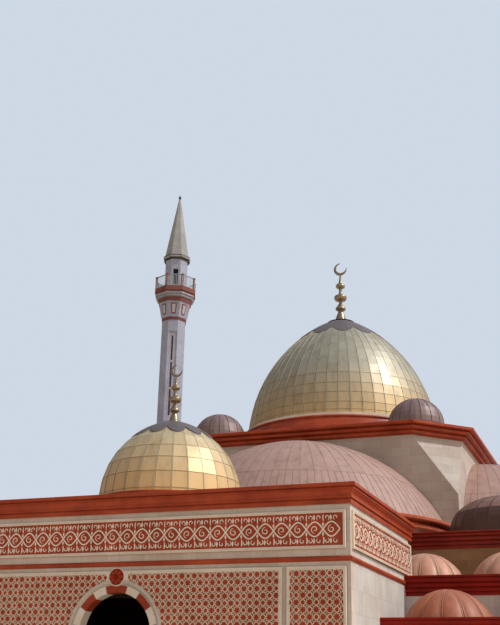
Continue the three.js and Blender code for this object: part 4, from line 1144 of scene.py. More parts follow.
def ribbed_dome(name, radius, rise, thickness=0.15):
    """The shell, its pairs of ribs with a painted highlight and the dark lines between them, painted shade.
    Each of the three strips of a valley has its turn, its share of the radius, its width and how far it
    stands out."""
    arc = rising_curve(radius, rise, 90, 10)[:-1] + [(radius * 0.05, rise * 0.998)]
    inner = [(max(r - thickness, 0.02), z * (1 - thickness / rise)) for r, z in reversed(arc[::3])]
    shell = turned(name, real(arc + [(0.02, rise), (0.02, rise - thickness)] + inner), 96)
    shape = bmesh.new()
    shape.from_mesh(shell.data)
    for point in shape.verts:
        factor = lobed(math.atan2(point.co.y, point.co.x))
        point.co.x *= factor
        point.co.y *= factor
    shape.to_mesh(shell.data)
    shape.free()
    set_tones(shell, 31)
    strips = []
    for turn, out, width, high in RIBS:
        curve = rising_curve(radius * out, rise, 84, 9)
        strip = upright_strip(f"{name}_rib", curve, width, (high, high / 2), (0.06, 0.06))
        strips.append(ring_of(swung(strip, turn), LOBES))
    return shell, joined(f"{name}_ribs", strips[:2]), strips[2]


def place_copies(piece, name, places, finish, nodes=(), crease=None):
    """One piece that holds a copy of this shape at each (x, y, z), in real metres."""
    copies = [moved(copy_of(piece, f"{name}_{i}"), *place) for i, place in enumerate(places)]
    bpy.data.objects.remove(piece)
    return put_away(joined(name, copies), finish, nodes, crease)


print("helpers for ribbed domes are ready")

# %% [markdown]
# Each porch carries two ribbed domes and the aisle ten. The domes of the porches are a little wider
# and darker. A shape is made once for a roof and copied to its places.

# %% Ribbed domes
PORCH_DOMES = {"right": [(13.07, -28.95, 4.0), (18.7, -28.95, 4.0)]}
PORCH_DOMES["left"] = [(-x, y, z) for x, y, z in PORCH_DOMES["right"]]
AISLE_DOMES = [((i - 4.5) * 4.36, -22.885, 6.5) for i in range(10)]


def ribbed_domes(name, radius, rise, places, sheet, edge):
    """The domes of one roof: the shells, their ribs with a painted highlight and the dark lines between the
    ribs, painted shade.
    """
    shell, ribs, lines = ribbed_dome(f"{name}_domes", radius, rise)
    place_copies(shell, f"{name}_domes", places, sheet, crease=25)
    place_copies(ribs, f"{name}_dome_ribs", places, edge)
    place_copies(lines, f"{name}_dome_lines", places, rib_gap_shade)


for side in SIDES:
    ribbed_domes(f"porch_{side}", 2.22, 2.2, PORCH_DOMES[side], porch_sheet, porch_rib_highlight)
ribbed_domes("aisle", 2.15, 2.13, AISLE_DOMES, rib_sheet, rib_highlight)

# %% [markdown]
# The domes of the wings stand on flat roofs. Each roof is a plate between the parapets, a block with
# eased edges, which together with its domes stands for one node of the frame.

# %% Flat roofs of the wings
def roof_plate(name, low, high, nodes):
    return put_away(solid(name, low, high, 0.01), roof_screed, nodes)


roof_plate("aisle_roof_plate", (-21.9, -26.05, 6.3), (21.9, -20.73, 6.6), ["aisle_roof"])
roof_plate("porch_right_roof_plate", (10.57, -31.2, 4.1), (21.2, -26.45, 4.4), ["porch_right_roof"])
roof_plate("porch_left_roof_plate", (-21.2, -31.2, 4.1), (-10.57, -26.45, 4.4), ["porch_left_roof"])

# %% [markdown]
# The roof of the hall is a plate round the base and the half domes, so those are cut out of it with
# Booleans.

# %% Hall roof
def cut_by(piece, cutter):
    """Takes the cutter's body out of the piece, and then the cutter away."""
    take(piece)
    cut = piece.modifiers.new("cut", "BOOLEAN")
    cut.operation, cut.object, cut.solver = "DIFFERENCE", cutter, "EXACT"
    bpy.ops.object.modifier_apply(modifier=cut.name)
    bpy.data.objects.remove(cutter)
    return piece


hall_plate = solid("hall_roof_plate", (-21.8, -20.23, 9.65), (21.8, 20.23, 10.05))
cut_by(hall_plate, solid("base_hole", (-10.8, -10.8, 9), (10.8, 10.8, 11)))
hole_profile = real([(0, 9), (9.42, 9), (9.42, 11), (0, 11)])
for x, y in ((0, 1), (1, 0), (0, -1), (-1, 0)):
    centre = (x * AGAINST * M, y * AGAINST * M)
    cut_by(hall_plate, turned("drum_hole", hole_profile, 48, centre=centre))
put_away(hall_plate, roof_screed, ["hall_roof"])

# %% [markdown]
# A low brown dome stands on the hall's roof towards each corner. Its curve is fuller than a circle: the
# sine and cosine are raised to a power below one. The row above the one level seam is lighter: painted
# sunlight.

# %% Corner domes
CORNER_AT, CORNER_RADIUS, CORNER_RISE, CORNER_SPRING, CORNER_SEAM = 14.65, 3.75, 2.4, 10.5, 11.8
CORNER_GORES = 24
LAP_AT = CORNER_SEAM - CORNER_SPRING


def full_curve(radius, rise, count):
    turns = [math.radians(90 * i / count) for i in range(count)]
    return [(radius * math.cos(t) ** 0.8, rise * math.sin(t) ** 0.8) for t in turns]


corner_curve = full_curve(CORNER_RADIUS, CORNER_RISE, 12)
corner_inner = full_curve(CORNER_RADIUS - 0.15, CORNER_RISE - 0.15, 6)
corner_shell = turned("corner_dome", real(
    corner_curve + [(0.03, CORNER_RISE), (0.03, CORNER_RISE - 0.15)] + corner_inner[::-1]
), CORNER_GORES)
set_tones(corner_shell, 61)
corner_shell.data.materials.append(brown_sheet)
# The crown above the level seam takes the lighter brown: painted sunlight.
give(corner_shell, sunlit_brown_crown, lambda centre, normal: centre.z > LAP_AT * M)
corner_seams = upright_strip("corner_dome_seams", corner_curve, 0.04, (0.025, 0.02), (0.05, 0.04))
ring_of(corner_seams, CORNER_GORES)
seam_radius = max(r for r, z in corner_curve if z > LAP_AT - 0.12)
corner_lap = turned("corner_dome_lap", real([
    (seam_radius - 0.1, LAP_AT - 0.04), (seam_radius + 0.08, LAP_AT - 0.04),
    (seam_radius + 0.05, LAP_AT + 0.03), (seam_radius - 0.1, LAP_AT + 0.03),
]), CORNER_GORES)
corner_kerb = turned("corner_dome_kerb", real([
    (3.55, -0.46), (3.81, -0.46), (3.81, -0.04), (3.78, 0), (3.55, 0),
]), CORNER_GORES)
corner_places = [(sx * CORNER_AT, sy * CORNER_AT, CORNER_SPRING) for sx in (1, -1) for sy in (-1, 1)]
corner_finishes = [brown_sheet, sunlit_brown_crown]
place_copies(corner_shell, "corner_domes", corner_places, corner_finishes, ["hall_roof"])
place_copies(corner_seams, "corner_dome_seams", corner_places, brown_seam)
corner_edges = joined("corner_dome_edges", [corner_lap, corner_kerb])
place_copies(corner_edges, "corner_dome_edges", corner_places, brown_seam)

# %% [markdown]
# A small brown dome stands at each corner of the octagon, on a low kerb. Its sheets are 16 to the
# ring with a thin seam between them, and it closes in a flat button.

# %% Small brown domes
SMALL_AT, SMALL_SPRING, SMALL_RADIUS = 7.6, 19.55, 2.0
small_curve = rising_curve(SMALL_RADIUS, SMALL_RADIUS, 87, 8)
small_inner = [(max(r - 0.15, 0.02), z * 0.92) for r, z in reversed(small_curve[::2])]
small_crown = [(0.03, SMALL_RADIUS), (0.03, 1.84)]
small_shell = turned("small_dome", real(small_curve + small_crown + small_inner), 32)
set_tones(small_shell, 41)
small_seams = upright_strip("small_dome_seams", small_curve[:-1], 0.03, (0.02, 0.015), (0.04, 0.03))
ring_of(small_seams, 16)
small_button = turned("small_dome_button", real([
    (0, 1.96), (0.22, 1.97), (0.25, 1.99), (0.22, 2.02), (0.08, 2.04), (0.07, 2.0), (0, 2.0),
]), 24)
small_kerb = turned("small_dome_kerb", real([
    (1.8, -0.28), (2.06, -0.28), (2.06, -0.06), (2.03, -0.02), (1.98, 0.02), (1.8, 0.02),
]), 48)
small_places = {
    f"{deep}_{side}": (sx * SMALL_AT, sy * SMALL_AT, SMALL_SPRING)
    for deep, sy in (("front", -1), ("rear", 1)) for side, sx in SIGNED_SIDES
}
for where, place in small_places.items():
    name = f"small_dome_{where}"
    parts = [copy_of(part, f"{part.name}_{where}") for part in (small_shell, small_button)]
    shell = joined(f"{name}_shell", parts)
    place_copies(shell, f"{name}_shell", [place], small_sheet, [name])
    place_copies(copy_of(small_seams, "seams"), f"{name}_seams", [place], brown_seam)
place_copies(small_kerb, "small_dome_kerbs", small_places.values(), brown_seam, crease=30)
for part in (small_shell, small_seams, small_button):
    bpy.data.objects.remove(part)

# %% [markdown]
# The portal is a round arch of wedge stones, red and cream in turn, with a red keystone. Every stone is
# drawn as its own outline and given its depth, so the joints are real gaps. The lowest wedge runs on
# past the spring line, and four straight courses under it go down to the floor.

# %% Portal stones
SPRING, OPEN, WEDGE_OUT = 3.82, 1.74, 2.06
WEDGE_FRONT, WEDGE_REAR = -36.58, -36.0
WEDGE_ENDS, FOOT_WEDGE = (11.25, 33.75, 56.25, 75, 105, 123.75, 146.25, 168.75), 0.37
JAMB_TOP, COURSES, FLOOR_TOP = SPRING - FOOT_WEDGE, 4, 0.15
STONE_EASE = 0.008


def wedge_stone(name, points):
    outline = [spot(x, WEDGE_FRONT, z) for x, z in points]
    return eased(extruded(name, outline, (0, (WEDGE_REAR - WEDGE_FRONT) * M, 0)), STONE_EASE * M)


stones = {"red": [], "cream": []}
for i, (start, end) in enumerate(zip(WEDGE_ENDS, WEDGE_ENDS[1:])):
    start, end = start + 0.2, end - 0.2
    tone = "red" if i % 2 == 1 else "cream"
    ring = arc_points((0, SPRING), WEDGE_OUT, start, end, 4) + arc_points((0, SPRING), OPEN, end, start, 4)
    stones[tone].append(wedge_stone(f"wedge_{i}", ring))
for sign in (-1, 1):
    ends = (0, WEDGE_ENDS[0] - 0.2) if sign > 0 else (180, WEDGE_ENDS[-1] + 0.2)
    ring = [(sign * WEDGE_OUT, JAMB_TOP), *arc_points((0, SPRING), WEDGE_OUT, *ends, 3)]
    ring += [*arc_points((0, SPRING), OPEN, *reversed(ends), 3), (sign * OPEN, JAMB_TOP)]
    stones["red"].append(wedge_stone("foot_wedge", ring))
for course in range(COURSES):
    rise = (JAMB_TOP - FLOOR_TOP) / COURSES
    low, high = FLOOR_TOP + rise * course + 0.006, FLOOR_TOP + rise * (course + 1) - 0.006
    tone = "red" if course % 2 == 0 else "cream"
    for sign in (-1, 1):
        near, far = sorted((sign * OPEN, sign * WEDGE_OUT))
        ends = (near, WEDGE_FRONT, low), (far, WEDGE_REAR, high)
        stones[tone].append(solid(f"jamb_{course}", *ends, STONE_EASE))
put_away(joined("portal_red_stones", stones["red"]), portal_red, ["portal_arch"])
put_away(joined("portal_cream_stones", stones["cream"]), cream_stone, ["portal_arch"])

# %% [markdown]
# A thick rounded hood of cream stone runs round the arch, over the ends of the stones. It is the
# cornice helper again, on a path of short straight stretches. A plain core of wall fills the depth
# behind it.

# %% Hood of the portal
hood_arch = arc_points((0, SPRING), WEDGE_OUT, 0, 180, 36)
hood_path = [(WEDGE_OUT, FLOOR_TOP), *hood_arch, (-WEDGE_OUT, FLOOR_TOP)]
hood_roll = [(0.045 + 0.205 * i / 8, 0.05 + 0.105 * math.sin(math.pi * i / 8) ** 0.7) for i in range(9)]
hood_curve = [(0, 0.09), (0.03, 0.09), (0.035, 0.05), *hood_roll]
hood = moulding(
    "portal_hood", real([(x, ENTRANCE_FRONT, z) for x, z in hood_path]),
    real([(-0.02, -0.48), (-0.02, 0.06), *hood_curve, (0.255, -0.48)]), lift=TO_FRONT, closed=False,
)
put_away(hood, hood_stone, ["portal_arch"], crease=40)

# %% [markdown]
# A round boss sits above the crown: a carved red rosette of eight petals inside a thin cream ring, on
# a plain cream field. It is turned flat about an upright axis, which is easy to spin, and then tipped
# up against the wall.

# %% Boss over the crown
BOSS_HEIGHT, FIELD_HALF = 6.21, 0.55


def stand_on_wall(piece):
    """Tips a piece made flat about the origin up against the front wall, at the boss."""
    place = Matrix.Translation(spot(0, ENTRANCE_FRONT, BOSS_HEIGHT))
    piece.matrix_world = place @ Matrix.Rotation(math.pi / 2, 4, "X")
    return settled(piece)


boss_ring = turned("boss_ring", real([
    (0.33, -0.01), (0.4, -0.01), (0.4, 0.13), (0.39, 0.15), (0.375, 0.155), (0.36, 0.15), (0.35, 0.13),
    (0.33, 0.13),
]), 48)
put_away(stand_on_wall(boss_ring), cream_stone, ["portal_arch"], crease=40)
boss_disc = turned("boss_disc", real([
    (0, -0.01), (0.35, -0.01), (0.35, 0.14), (0.3, 0.16), (0.1, 0.175), (0.08, 0.205), (0, 0.215),
]), 48)
petal_outline = [
    (0.1, 0), (0.15, -0.05), (0.22, -0.075), (0.29, -0.055), (0.33, 0), (0.29, 0.055), (0.22, 0.075),
    (0.15, 0.05),
]
petal = extruded("boss_petal", real([(x, y, 0.14) for x, y in petal_outline]), (0, 0, 0.06 * M))
ring_of(eased(petal, 0.015 * M), 8)
put_away(stand_on_wall(boss_disc), deep_red_stone, ["portal_arch"], crease=30)
put_away(stand_on_wall(petal), star_stone, ["portal_arch"], crease=30)
boss_field = solid("boss_field", (-FIELD_HALF, -36.6, 5.95), (FIELD_HALF, -36.4, 6.36), 0.01)
put_away(boss_field, cream_stone)

# %% [markdown]
# The carved screens are a net of cream rings over dark red stone: eight-pointed stars and small lozenges
# in turn, each with a red plate in it. Four cells make the repeat. A ring is two loops, bridged.

# %% Stars and lozenges
CELL = 0.285
STRAP_FACE, STRAP_DEPTH = -36.605, 0.05
PLATE_FACE, PLATE_DEPTH = -36.58, 0.03


def star(tip, notch):
    reaches = [notch if i % 2 else tip for i in range(16)]
    return [(r * math.cos(math.pi * i / 8), r * math.sin(math.pi * i / 8)) for i, r in enumerate(reaches)]


def lozenge(wide, tall):
    """An oval drawn out to four soft points."""
    ways = [(math.cos(math.pi * i / 6), math.sin(math.pi * i / 6)) for i in range(12)]
    return [(wide * c * abs(c) ** 0.2, tall * s * abs(s) ** 0.2) for c, s in ways]


def flat_loop(x, z, outline, face, close):
    points = [((x + px) * M, face * M, (z + pz) * M) for px, pz in outline]
    return drawn("loop", points if close else points + points[:1], close=close)


def flat_ring(x, z, outer, inner, back):
    """The space between two outlines with the same number of points, set back a little."""
    face = STRAP_FACE + back
    ring = joined("ring", [flat_loop(x, z, outer, face, False), flat_loop(x, z, inner, face, False)])
    edit(ring)
    bpy.ops.mesh.bridge_edge_loops()
    bpy.ops.object.mode_set(mode="OBJECT")
    return ring


def repeat_of(make_star, make_lozenge):
    """The four cells of the repeat, with stars and lozenges in turn."""
    return joined("repeat", [
        make_star(0, 0), make_lozenge(CELL, 0), make_lozenge(0, CELL), make_star(CELL, CELL),
    ])


strap_repeat = repeat_of(
    lambda x, z: flat_ring(x, z, star(0.194, 0.138), star(0.165, 0.098), 0),
    lambda x, z: flat_ring(x, z, lozenge(0.13, 0.136), lozenge(0.088, 0.095), 0.006),
)
plate_repeat = repeat_of(
    lambda x, z: flat_loop(x, z, star(0.163, 0.094), PLATE_FACE, True),
    lambda x, z: flat_loop(x, z, lozenge(0.085, 0.091), PLATE_FACE, True),
)
print("faces in a repeat:", len(strap_repeat.data.polygons), len(plate_repeat.data.polygons))

# %% [markdown]
# The repeat is arrayed over each screen, cut to the frame with bisect, cleared away where the portal's
# hood and the boss cover it, and only then given its thickness.

# %% Carved screens
HOOD_COVER = 2.24
NET_LOW, NET_HIGH = 1.34, 6.33


def arrayed(piece, count, step):
    """Copies the piece in a row, each one a step of (x, y, z) in real metres from the last."""
    take(piece)
    array = piece.modifiers.new("array", "ARRAY")
    array.count = count
    array.use_relative_offset = False
    array.use_constant_offset = True
    array.constant_offset_displace = spot(*step)
    bpy.ops.object.modifier_apply(modifier=array.name)
    return piece


def cut_to(piece, left, right, low, high):
    """Trims a flat pattern to a rectangle of the front wall."""
    edges = (
        ((left, 0, 0), (-1, 0, 0)), ((right, 0, 0), (1, 0, 0)),
        ((0, 0, low), (0, 0, -1)), ((0, 0, high), (0, 0, 1)),
    )
    for place, way in edges:
        edit(piece)
        bpy.ops.mesh.bisect(plane_co=spot(*place), plane_no=way, clear_outer=True)
        bpy.ops.object.mode_set(mode="OBJECT")
    return piece


def clear_of_portal(piece):
    """Takes away what the hood of the portal and the boss cover."""
    def covered(centre, normal):
        x, z = centre.x / M, centre.z / M
        in_arch = abs(x) < HOOD_COVER and (z < SPRING or math.hypot(x, z - SPRING) < HOOD_COVER)
        return in_arch or (abs(x) < FIELD_HALF and z > SPRING)
    choose_faces(piece, covered)
    bpy.ops.mesh.delete(type="FACE")
    bpy.ops.object.mode_set(mode="OBJECT")
    return piece


def thickened(piece, depth):
    take(piece)
    solidify = piece.modifiers.new("depth", "SOLIDIFY")
    solidify.thickness = depth * M
    solidify.offset = -1.0
    bpy.ops.object.modifier_apply(modifier=solidify.name)
    return piece


SCREENS = {
    "screen_inner_right": (0.0, 7.5), "screen_inner_left": (-7.5, 0.0),
    "screen_outer_right": (7.99, 10.26), "screen_outer_left": (-10.26, -7.99),
}
LAYERS = (
    (strap_repeat, "straps", STRAP_DEPTH, strap_stone), (plate_repeat, "plates", PLATE_DEPTH, star_stone),
)
for name, (left, right) in SCREENS.items():
    columns, rows = (math.ceil(length / (2 * CELL)) for length in (right - left, NET_HIGH - NET_LOW))
    start = left if left >= 0 else right - 2 * CELL * columns
    for repeat, kind, depth, finish in LAYERS:
        pattern = copy_of(repeat, f"{name}_{kind}")
        arrayed(pattern, columns + 1, (2 * CELL, 0, 0))
        arrayed(pattern, rows + 1, (0, 0, 2 * CELL))
        moved(pattern, start, 0, NET_HIGH - CELL / 2 - (2 * rows + 1) * CELL)
        cut_to(pattern, left, right, NET_LOW, NET_HIGH)
        if "inner" in name:
            clear_of_portal(pattern)
        faced_out(pattern)
        if pattern.data.polygons[0].normal.y > 0:
            edit(pattern)
            bpy.ops.mesh.flip_normals()
            bpy.ops.object.mode_set(mode="OBJECT")
        thickened(pattern, depth)
        put_away(pattern, finish)
for repeat in (strap_repeat, plate_repeat):
    bpy.data.objects.remove(repeat)

# %% [markdown]
# The minaret is eight-sided, with an angle on each axis. Its shaft is spun in eight steps. On every
# other face a tall panel is inset and pushed back, and three window lights are cut through it with a
# Boolean, the quickest way to a clean hole through a wall. Dark glass stands behind them.

# %% Minaret shaft
TOWER, HALF_FACE = (24.1, 17.34), 22.5


def inset_faces(piece, wanted, thickness, push=0.0, finish=None):
    """Insets the chosen faces, pushes them along their normals and gives the middle its finish."""
    choose_faces(piece, wanted)
    bpy.ops.mesh.inset(thickness=thickness * M, depth=push * M, use_even_offset=True, use_individual=True)
    if finish:
        if finish.name not in piece.data.materials:
            piece.data.materials.append(finish)
        piece.active_material_index = piece.data.materials.find(finish.name)
        bpy.ops.object.material_slot_assign()
    bpy.ops.object.mode_set(mode="OBJECT")


def about_tower(centre):
    """Distance from the tower's axis and turn about it, in real metres and degrees."""
    x, y = centre.x / M, centre.y / M
    return math.hypot(x, y), math.degrees(math.atan2(y, x)) % 360


PANEL_BOTTOM, PANEL_TOP = 28.4, 38.4
SHAFT_OUT, SHAFT_IN = 1.37, 1.04
LIGHTS = ((28.92, 31.79), (32.03, 34.85), (35.09, 37.9))
WINDOW_TURNS = (67.5, 157.5)


def on_panel(centre, normal):
    """The outer faces of the shaft that get a panel: every other one, at the height of the panels."""
    reach, turn = about_tower(centre)
    outside = reach > 1.15 and abs(normal.z) < 0.1
    return outside and PANEL_BOTTOM < centre.z / M < PANEL_TOP and round((turn - HALF_FACE) / 45) % 2 == 1


pedestal = solid("minaret_pedestal", (-1.8, -1.8, 0.15), (1.8, 1.8, 10.0), 0.03)
shaft = turned("minaret_shaft", real([
    (0.02, 9.9), (SHAFT_OUT, 9.9), (SHAFT_OUT, PANEL_BOTTOM), (SHAFT_OUT, PANEL_TOP), (SHAFT_OUT, 39.74),
    (SHAFT_IN, 39.74), (SHAFT_IN, 10.3), (0.02, 10.3),
]), 8)
shaft.data.materials.append(tower_stone)
inset_faces(shaft, on_panel, 0.2, -0.06, tower_panel)
lights = [
    swung(solid("window_light", (-0.095, -3, bottom), (0.095, 3, top)), turn)
    for turn in WINDOW_TURNS for bottom, top in LIGHTS
]
cut_by(shaft, joined("window_lights", lights))
panes = [
    swung(solid("pane", (-0.135, reach - 0.01, 28.85), (0.135, reach + 0.01, 38.0)), turn)
    for turn in WINDOW_TURNS for reach in (-1.19, 1.19)
]
glass = joined("window_glass", panes)
print("shaft faces:", len(shaft.data.polygons))

# %% [markdown]
# The balcony flares out from a thin red ring, with a red-framed panel on every face, then steps out in
# a red band, two white bands and a red slab. One profile in eight steps gives all of it. Finishes go
# on by height.

# %% Minaret balcony
balcony_profile = [
    (SHAFT_IN, 39.74), (1.4, 39.74), (1.42, 39.76), (1.42, 39.86), (1.39, 39.88), (1.39, 39.92),
    (1.43, 39.94), (1.43, 40.03), (1.41, 40.07), (1.46, 40.09), (1.8, 41.8), (1.82, 41.85), (1.9, 41.87),
    (1.91, 41.9), (1.96, 42.2), (1.96, 42.26), (1.92, 42.28), (1.92, 42.31), (2.12, 42.34), (2.14, 42.36),
    (2.16, 42.5), (2.12, 42.52), (2.12, 42.55), (2.24, 42.58), (2.28, 42.61), (2.28, 42.8), (2.2, 42.83),
    (2.2, 42.89), (2.36, 42.92), (2.4, 42.95), (2.4, 43.41), (2.36, 43.47), (SHAFT_IN, 43.47),
]
balcony = turned("minaret_balcony", real(balcony_profile), 8)
balcony.data.materials.append(tower_stone)


def finish_between(piece, finish, low, high):
    give(piece, finish, lambda c, n: low < c.z / M < high and about_tower(c)[0] > 1.1)


finish_between(balcony, tower_red, 39.7, 40.075)
finish_between(balcony, tower_red, 41.86, 42.27)
finish_between(balcony, band_stone, 42.3, 42.82)
finish_between(balcony, tower_red, 42.85, 43.46)


FLARE_FOOT, FLARE_RADIUS, FLARE_RISE, FLARE_SPREAD = 40.09, 1.46, 1.71, 0.34


def flare_panel(name, low, high, half_low, half_high, proud):
    """A thin upright panel on each face of the flare, wider at its top than at its foot."""
    def on_face(z, half):
        angle_out = FLARE_RADIUS + (z - FLARE_FOOT) / FLARE_RISE * FLARE_SPREAD
        face_out = angle_out * math.cos(math.radians(HALF_FACE))
        return [spot(face_out - 0.03, side * half, z) for side in (-1, 1)]
    corners = on_face(low, half_low) + on_face(high, half_high)[::-1]
    panel = extruded(name, corners, ((0.03 + proud) * M, 0, 0))
    return ring_of(swung(panel, HALF_FACE), 8)


flare_frame = flare_panel("flare_frame", 40.38, 41.58, 0.22, 0.33, 0.03)
flare_light = flare_panel("flare_light", 40.52, 41.45, 0.12, 0.2, 0.045)
print("balcony faces:", len(balcony.data.polygons))

# %% [markdown]
# The rail has a stout post at each angle, thin upright bars between them and a slim handrail. One post
# and the bars of one side are made, and a ring of copies gives the rest.

# %% Rail of the balcony
RAIL_CORNER, RAIL_FOOT, RAIL_TOP = 2.24, 43.45, 44.87
POST_TOP, BAR_TOP = 44.73, 44.8
low, high = (RAIL_CORNER - 0.11, -0.12, RAIL_FOOT), (RAIL_CORNER + 0.11, 0.12, POST_TOP)
post = ring_of(solid("rail_posts", low, high, 0.015), 8)
low, high = (RAIL_CORNER - 0.14, -0.15, POST_TOP), (RAIL_CORNER + 0.14, 0.15, RAIL_TOP)
post_cap = ring_of(solid("rail_caps", low, high, 0.03), 8)
bars = []
side_turn = math.radians(45)
corner_a = Vector((RAIL_CORNER, 0, 0))
corner_b = Vector((RAIL_CORNER * math.cos(side_turn), RAIL_CORNER * math.sin(side_turn), 0))
for i in range(1, 10):
    at = corner_a.lerp(corner_b, i / 10)
    low, high = (at.x - 0.02, at.y - 0.02, RAIL_FOOT), (at.x + 0.02, at.y + 0.02, BAR_TOP)
    bars.append(solid("bar", low, high, 0.005))
bars = ring_of(joined("rail_bars", bars), 8)


def rail_section(low, half):
    """A square section with its corners cut, about the line of the rail."""
    cut, high = half * 0.4, low + 2 * half
    outline = [(-half, low + cut), (-half + cut, low), (half - cut, low), (half, low + cut),
               (half, high - cut), (half - cut, high), (-half + cut, high), (-half, high - cut)]
    return real([(RAIL_CORNER + out, up) for out, up in outline])


handrail = turned("handrail", rail_section(44.76, 0.05), 8)
foot_rail = turned("foot_rail", rail_section(43.56, 0.03), 8)
print("rail faces:", sum(len(part.data.polygons) for part in (post, post_cap, bars, handrail, foot_rail)))

# %% [markdown]
# On the balcony stands a short eight-sided turret with a door, and over its eaves a tall spire of
# pale lead that ends in a ball. The eaves are a dark, a pale and a dark line, which are steps of the
# profile with finishes given by height.

# %% Turret and spire
turret = turned("minaret_turret", real([
    (SHAFT_IN, 43.47), (1.36, 43.47), (1.36, 43.62), (1.31, 43.65), (1.31, 47.08), (SHAFT_IN, 47.08),
]), 8)
cut_by(turret, swung(solid("door_cut", (-0.28, -2, 43.4), (0.28, 0, 45.85)), -HALF_FACE))
turret_lining = turned("turret_lining", real([(0.98, 43.5), (1.03, 43.5), (1.03, 47.05), (0.98, 47.05)]), 8)
turret.data.materials.append(tower_stone)

spire = turned("minaret_spire", real([
    (1.0, 47.08), (1.4, 47.08), (1.46, 47.1), (1.48, 47.14), (1.48, 47.2), (1.44, 47.22), (1.44, 47.25),
    (1.56, 47.27), (1.6, 47.3), (1.6, 47.44), (1.56, 47.46), (1.56, 47.48), (1.6, 47.5), (1.6, 47.53),
    (1.48, 47.55), (1.4, 47.7), (0.12, 55.1), (0.05, 55.14), (0.02, 55.14), (0.02, 47.3), (1.0, 47.3),
]), 8)
spire.data.materials.append(eave_stone)
set_tones(spire, 51)
finish_between(spire, spire_sheet, 47.56, 55.1)
finish_between(spire, groove_shade, 47.08, 47.26)
finish_between(spire, groove_shade, 47.445, 47.555)
spire_ball = turned("spire_ball", real([
    (0, 55.1), (0.08, 55.13), (0.14, 55.22), (0.16, 55.33), (0.14, 55.43), (0.08, 55.51), (0.03, 55.54),
    (0.02, 55.69), (0, 55.69),
]), 16)
print("turret and spire faces:", len(turret.data.polygons), len(spire.data.polygons))

# %% [markdown]
# Everything so far was made about the tower's own axis. Now each part is copied to both back corners
# of the hall, the left one as the mirror of the right, and put away with the node it stands for.

# %% Both minarets
TOWER_PARTS = [
    (pedestal, "minaret_pedestal", "stone", block_stone, "shaft"),
    (shaft, "minaret_shaft", "stone", None, "shaft"),
    (balcony, "minaret_balcony", "red_stone", None, "balcony"),
    (post, "rail_posts", "red_stone", tower_pink, "balcony"),
    (post_cap, "rail_caps", "red_stone", tower_red, "balcony"),
    (bars, "rail_bars", "spire_metal", baluster_paint, "balcony"),
    (handrail, "handrail", "spire_metal", handrail_paint, "balcony"),
    (flare_frame, "flare_frame", "stone", tower_red, "balcony"),
    (flare_light, "flare_light", "stone", tower_light, "balcony"),
    (glass, "window_glass", "spire_metal", slit_glass, "shaft"),
    (turret_lining, "turret_lining", "stone", inner_shade, "turret"),
    (foot_rail, "foot_rail", "spire_metal", baluster_paint, "balcony"),
    (turret, "minaret_turret", "stone", None, "turret"),
    (spire, "minaret_spire", "spire_metal", None, "spire"),
    (spire_ball, "spire_ball", "spire_metal", rail_paint, "spire"),
]
for part, name, slot, finish, node in TOWER_PARTS:
    for side, sign in SIGNED_SIDES:
        one = copy_of(part, f"{name}_{side}")
        one.scale = (sign, 1, 1)
        one.location = (sign * TOWER[0] * M, TOWER[1] * M, 0)
        finishes = finish or list(one.data.materials)
        put_away(one, finishes, [f"minaret_{side}_{node}"])
    bpy.data.objects.remove(part)

# %% [markdown]
# The frieze carries a scroll of vines in cream on red. Every stroke is a ribbon: two chains, one to each
# side of a line, bridged. The lines are spirals and shallow bows, with pointed leaves between them.

# %% Strokes of the frieze
FRIEZE_MIDDLE, MODULE, RELIEF = 7.96, 1.457, 0.015


def ribbon(line, width, depth_step=0.0, ends=0.35):
    """A flat stroke along the line of (x, z) points, narrower towards both ends."""
    left, right = [], []
    last = len(line) - 1
    for i, (x, z) in enumerate(line):
        x0, z0 = line[max(i - 1, 0)]
        x1, z1 = line[min(i + 1, last)]
        length = math.hypot(x1 - x0, z1 - z0)
        across = (-(z1 - z0) / length, (x1 - x0) / length)
        half = width / 2 * (ends + (1 - ends) * math.sin(math.pi * i / last) ** 0.5)
        left.append((x + across[0] * half, z + across[1] * half))
        right.append((x - across[0] * half, z - across[1] * half))
    chains = [drawn("stroke", [(x * M, -depth_step * M, z * M) for x, z in side]) for side in (left, right)]
    stroke = joined("stroke", chains)
    edit(stroke)
    bpy.ops.mesh.bridge_edge_loops()
    bpy.ops.object.mode_set(mode="OBJECT")
    return stroke


def spiral(x, z, start, turns, outer, inner, count=14):
    """Points that wind in towards (x, z)."""
    points = []
    for i in range(count + 1):
        share = i / count
        reach = outer + (inner - outer) * share
        angle = math.radians(start + 360 * turns * share)
        points.append((x + reach * math.cos(angle), z + reach * math.sin(angle)))
    return points


def bow(x0, z0, x1, z1, bulge, count=8):
    """Points from one end to the other along a shallow bow."""
    along, up = x1 - x0, z1 - z0
    length = math.hypot(along, up)
    points = []
    for i in range(count + 1):
        share = i / count
        swell = bulge * math.sin(math.pi * share)
        points.append((x0 + along * share - up / length * swell, z0 + up * share + along / length * swell))
    return points


def leaf(x, z, turn, long):
    """A pointed leaf, as a flat face."""
    shape = [(0, 0), (0.3, 0.17), (0.6, 0.19), (1, 0), (0.6, -0.19), (0.3, -0.17)]
    c, s = math.cos(math.radians(turn)), math.sin(math.radians(turn))
    points = [((x + (a * c - b * s) * long) * M, 0, (z + (a * s + b * c) * long) * M) for a, b in shape]
    return drawn("leaf", points, close=True)


print("strokes of the frieze are ready")

# %% [markdown]
# One module of the scroll is made of such strokes, and then arrayed along the front and both sides.

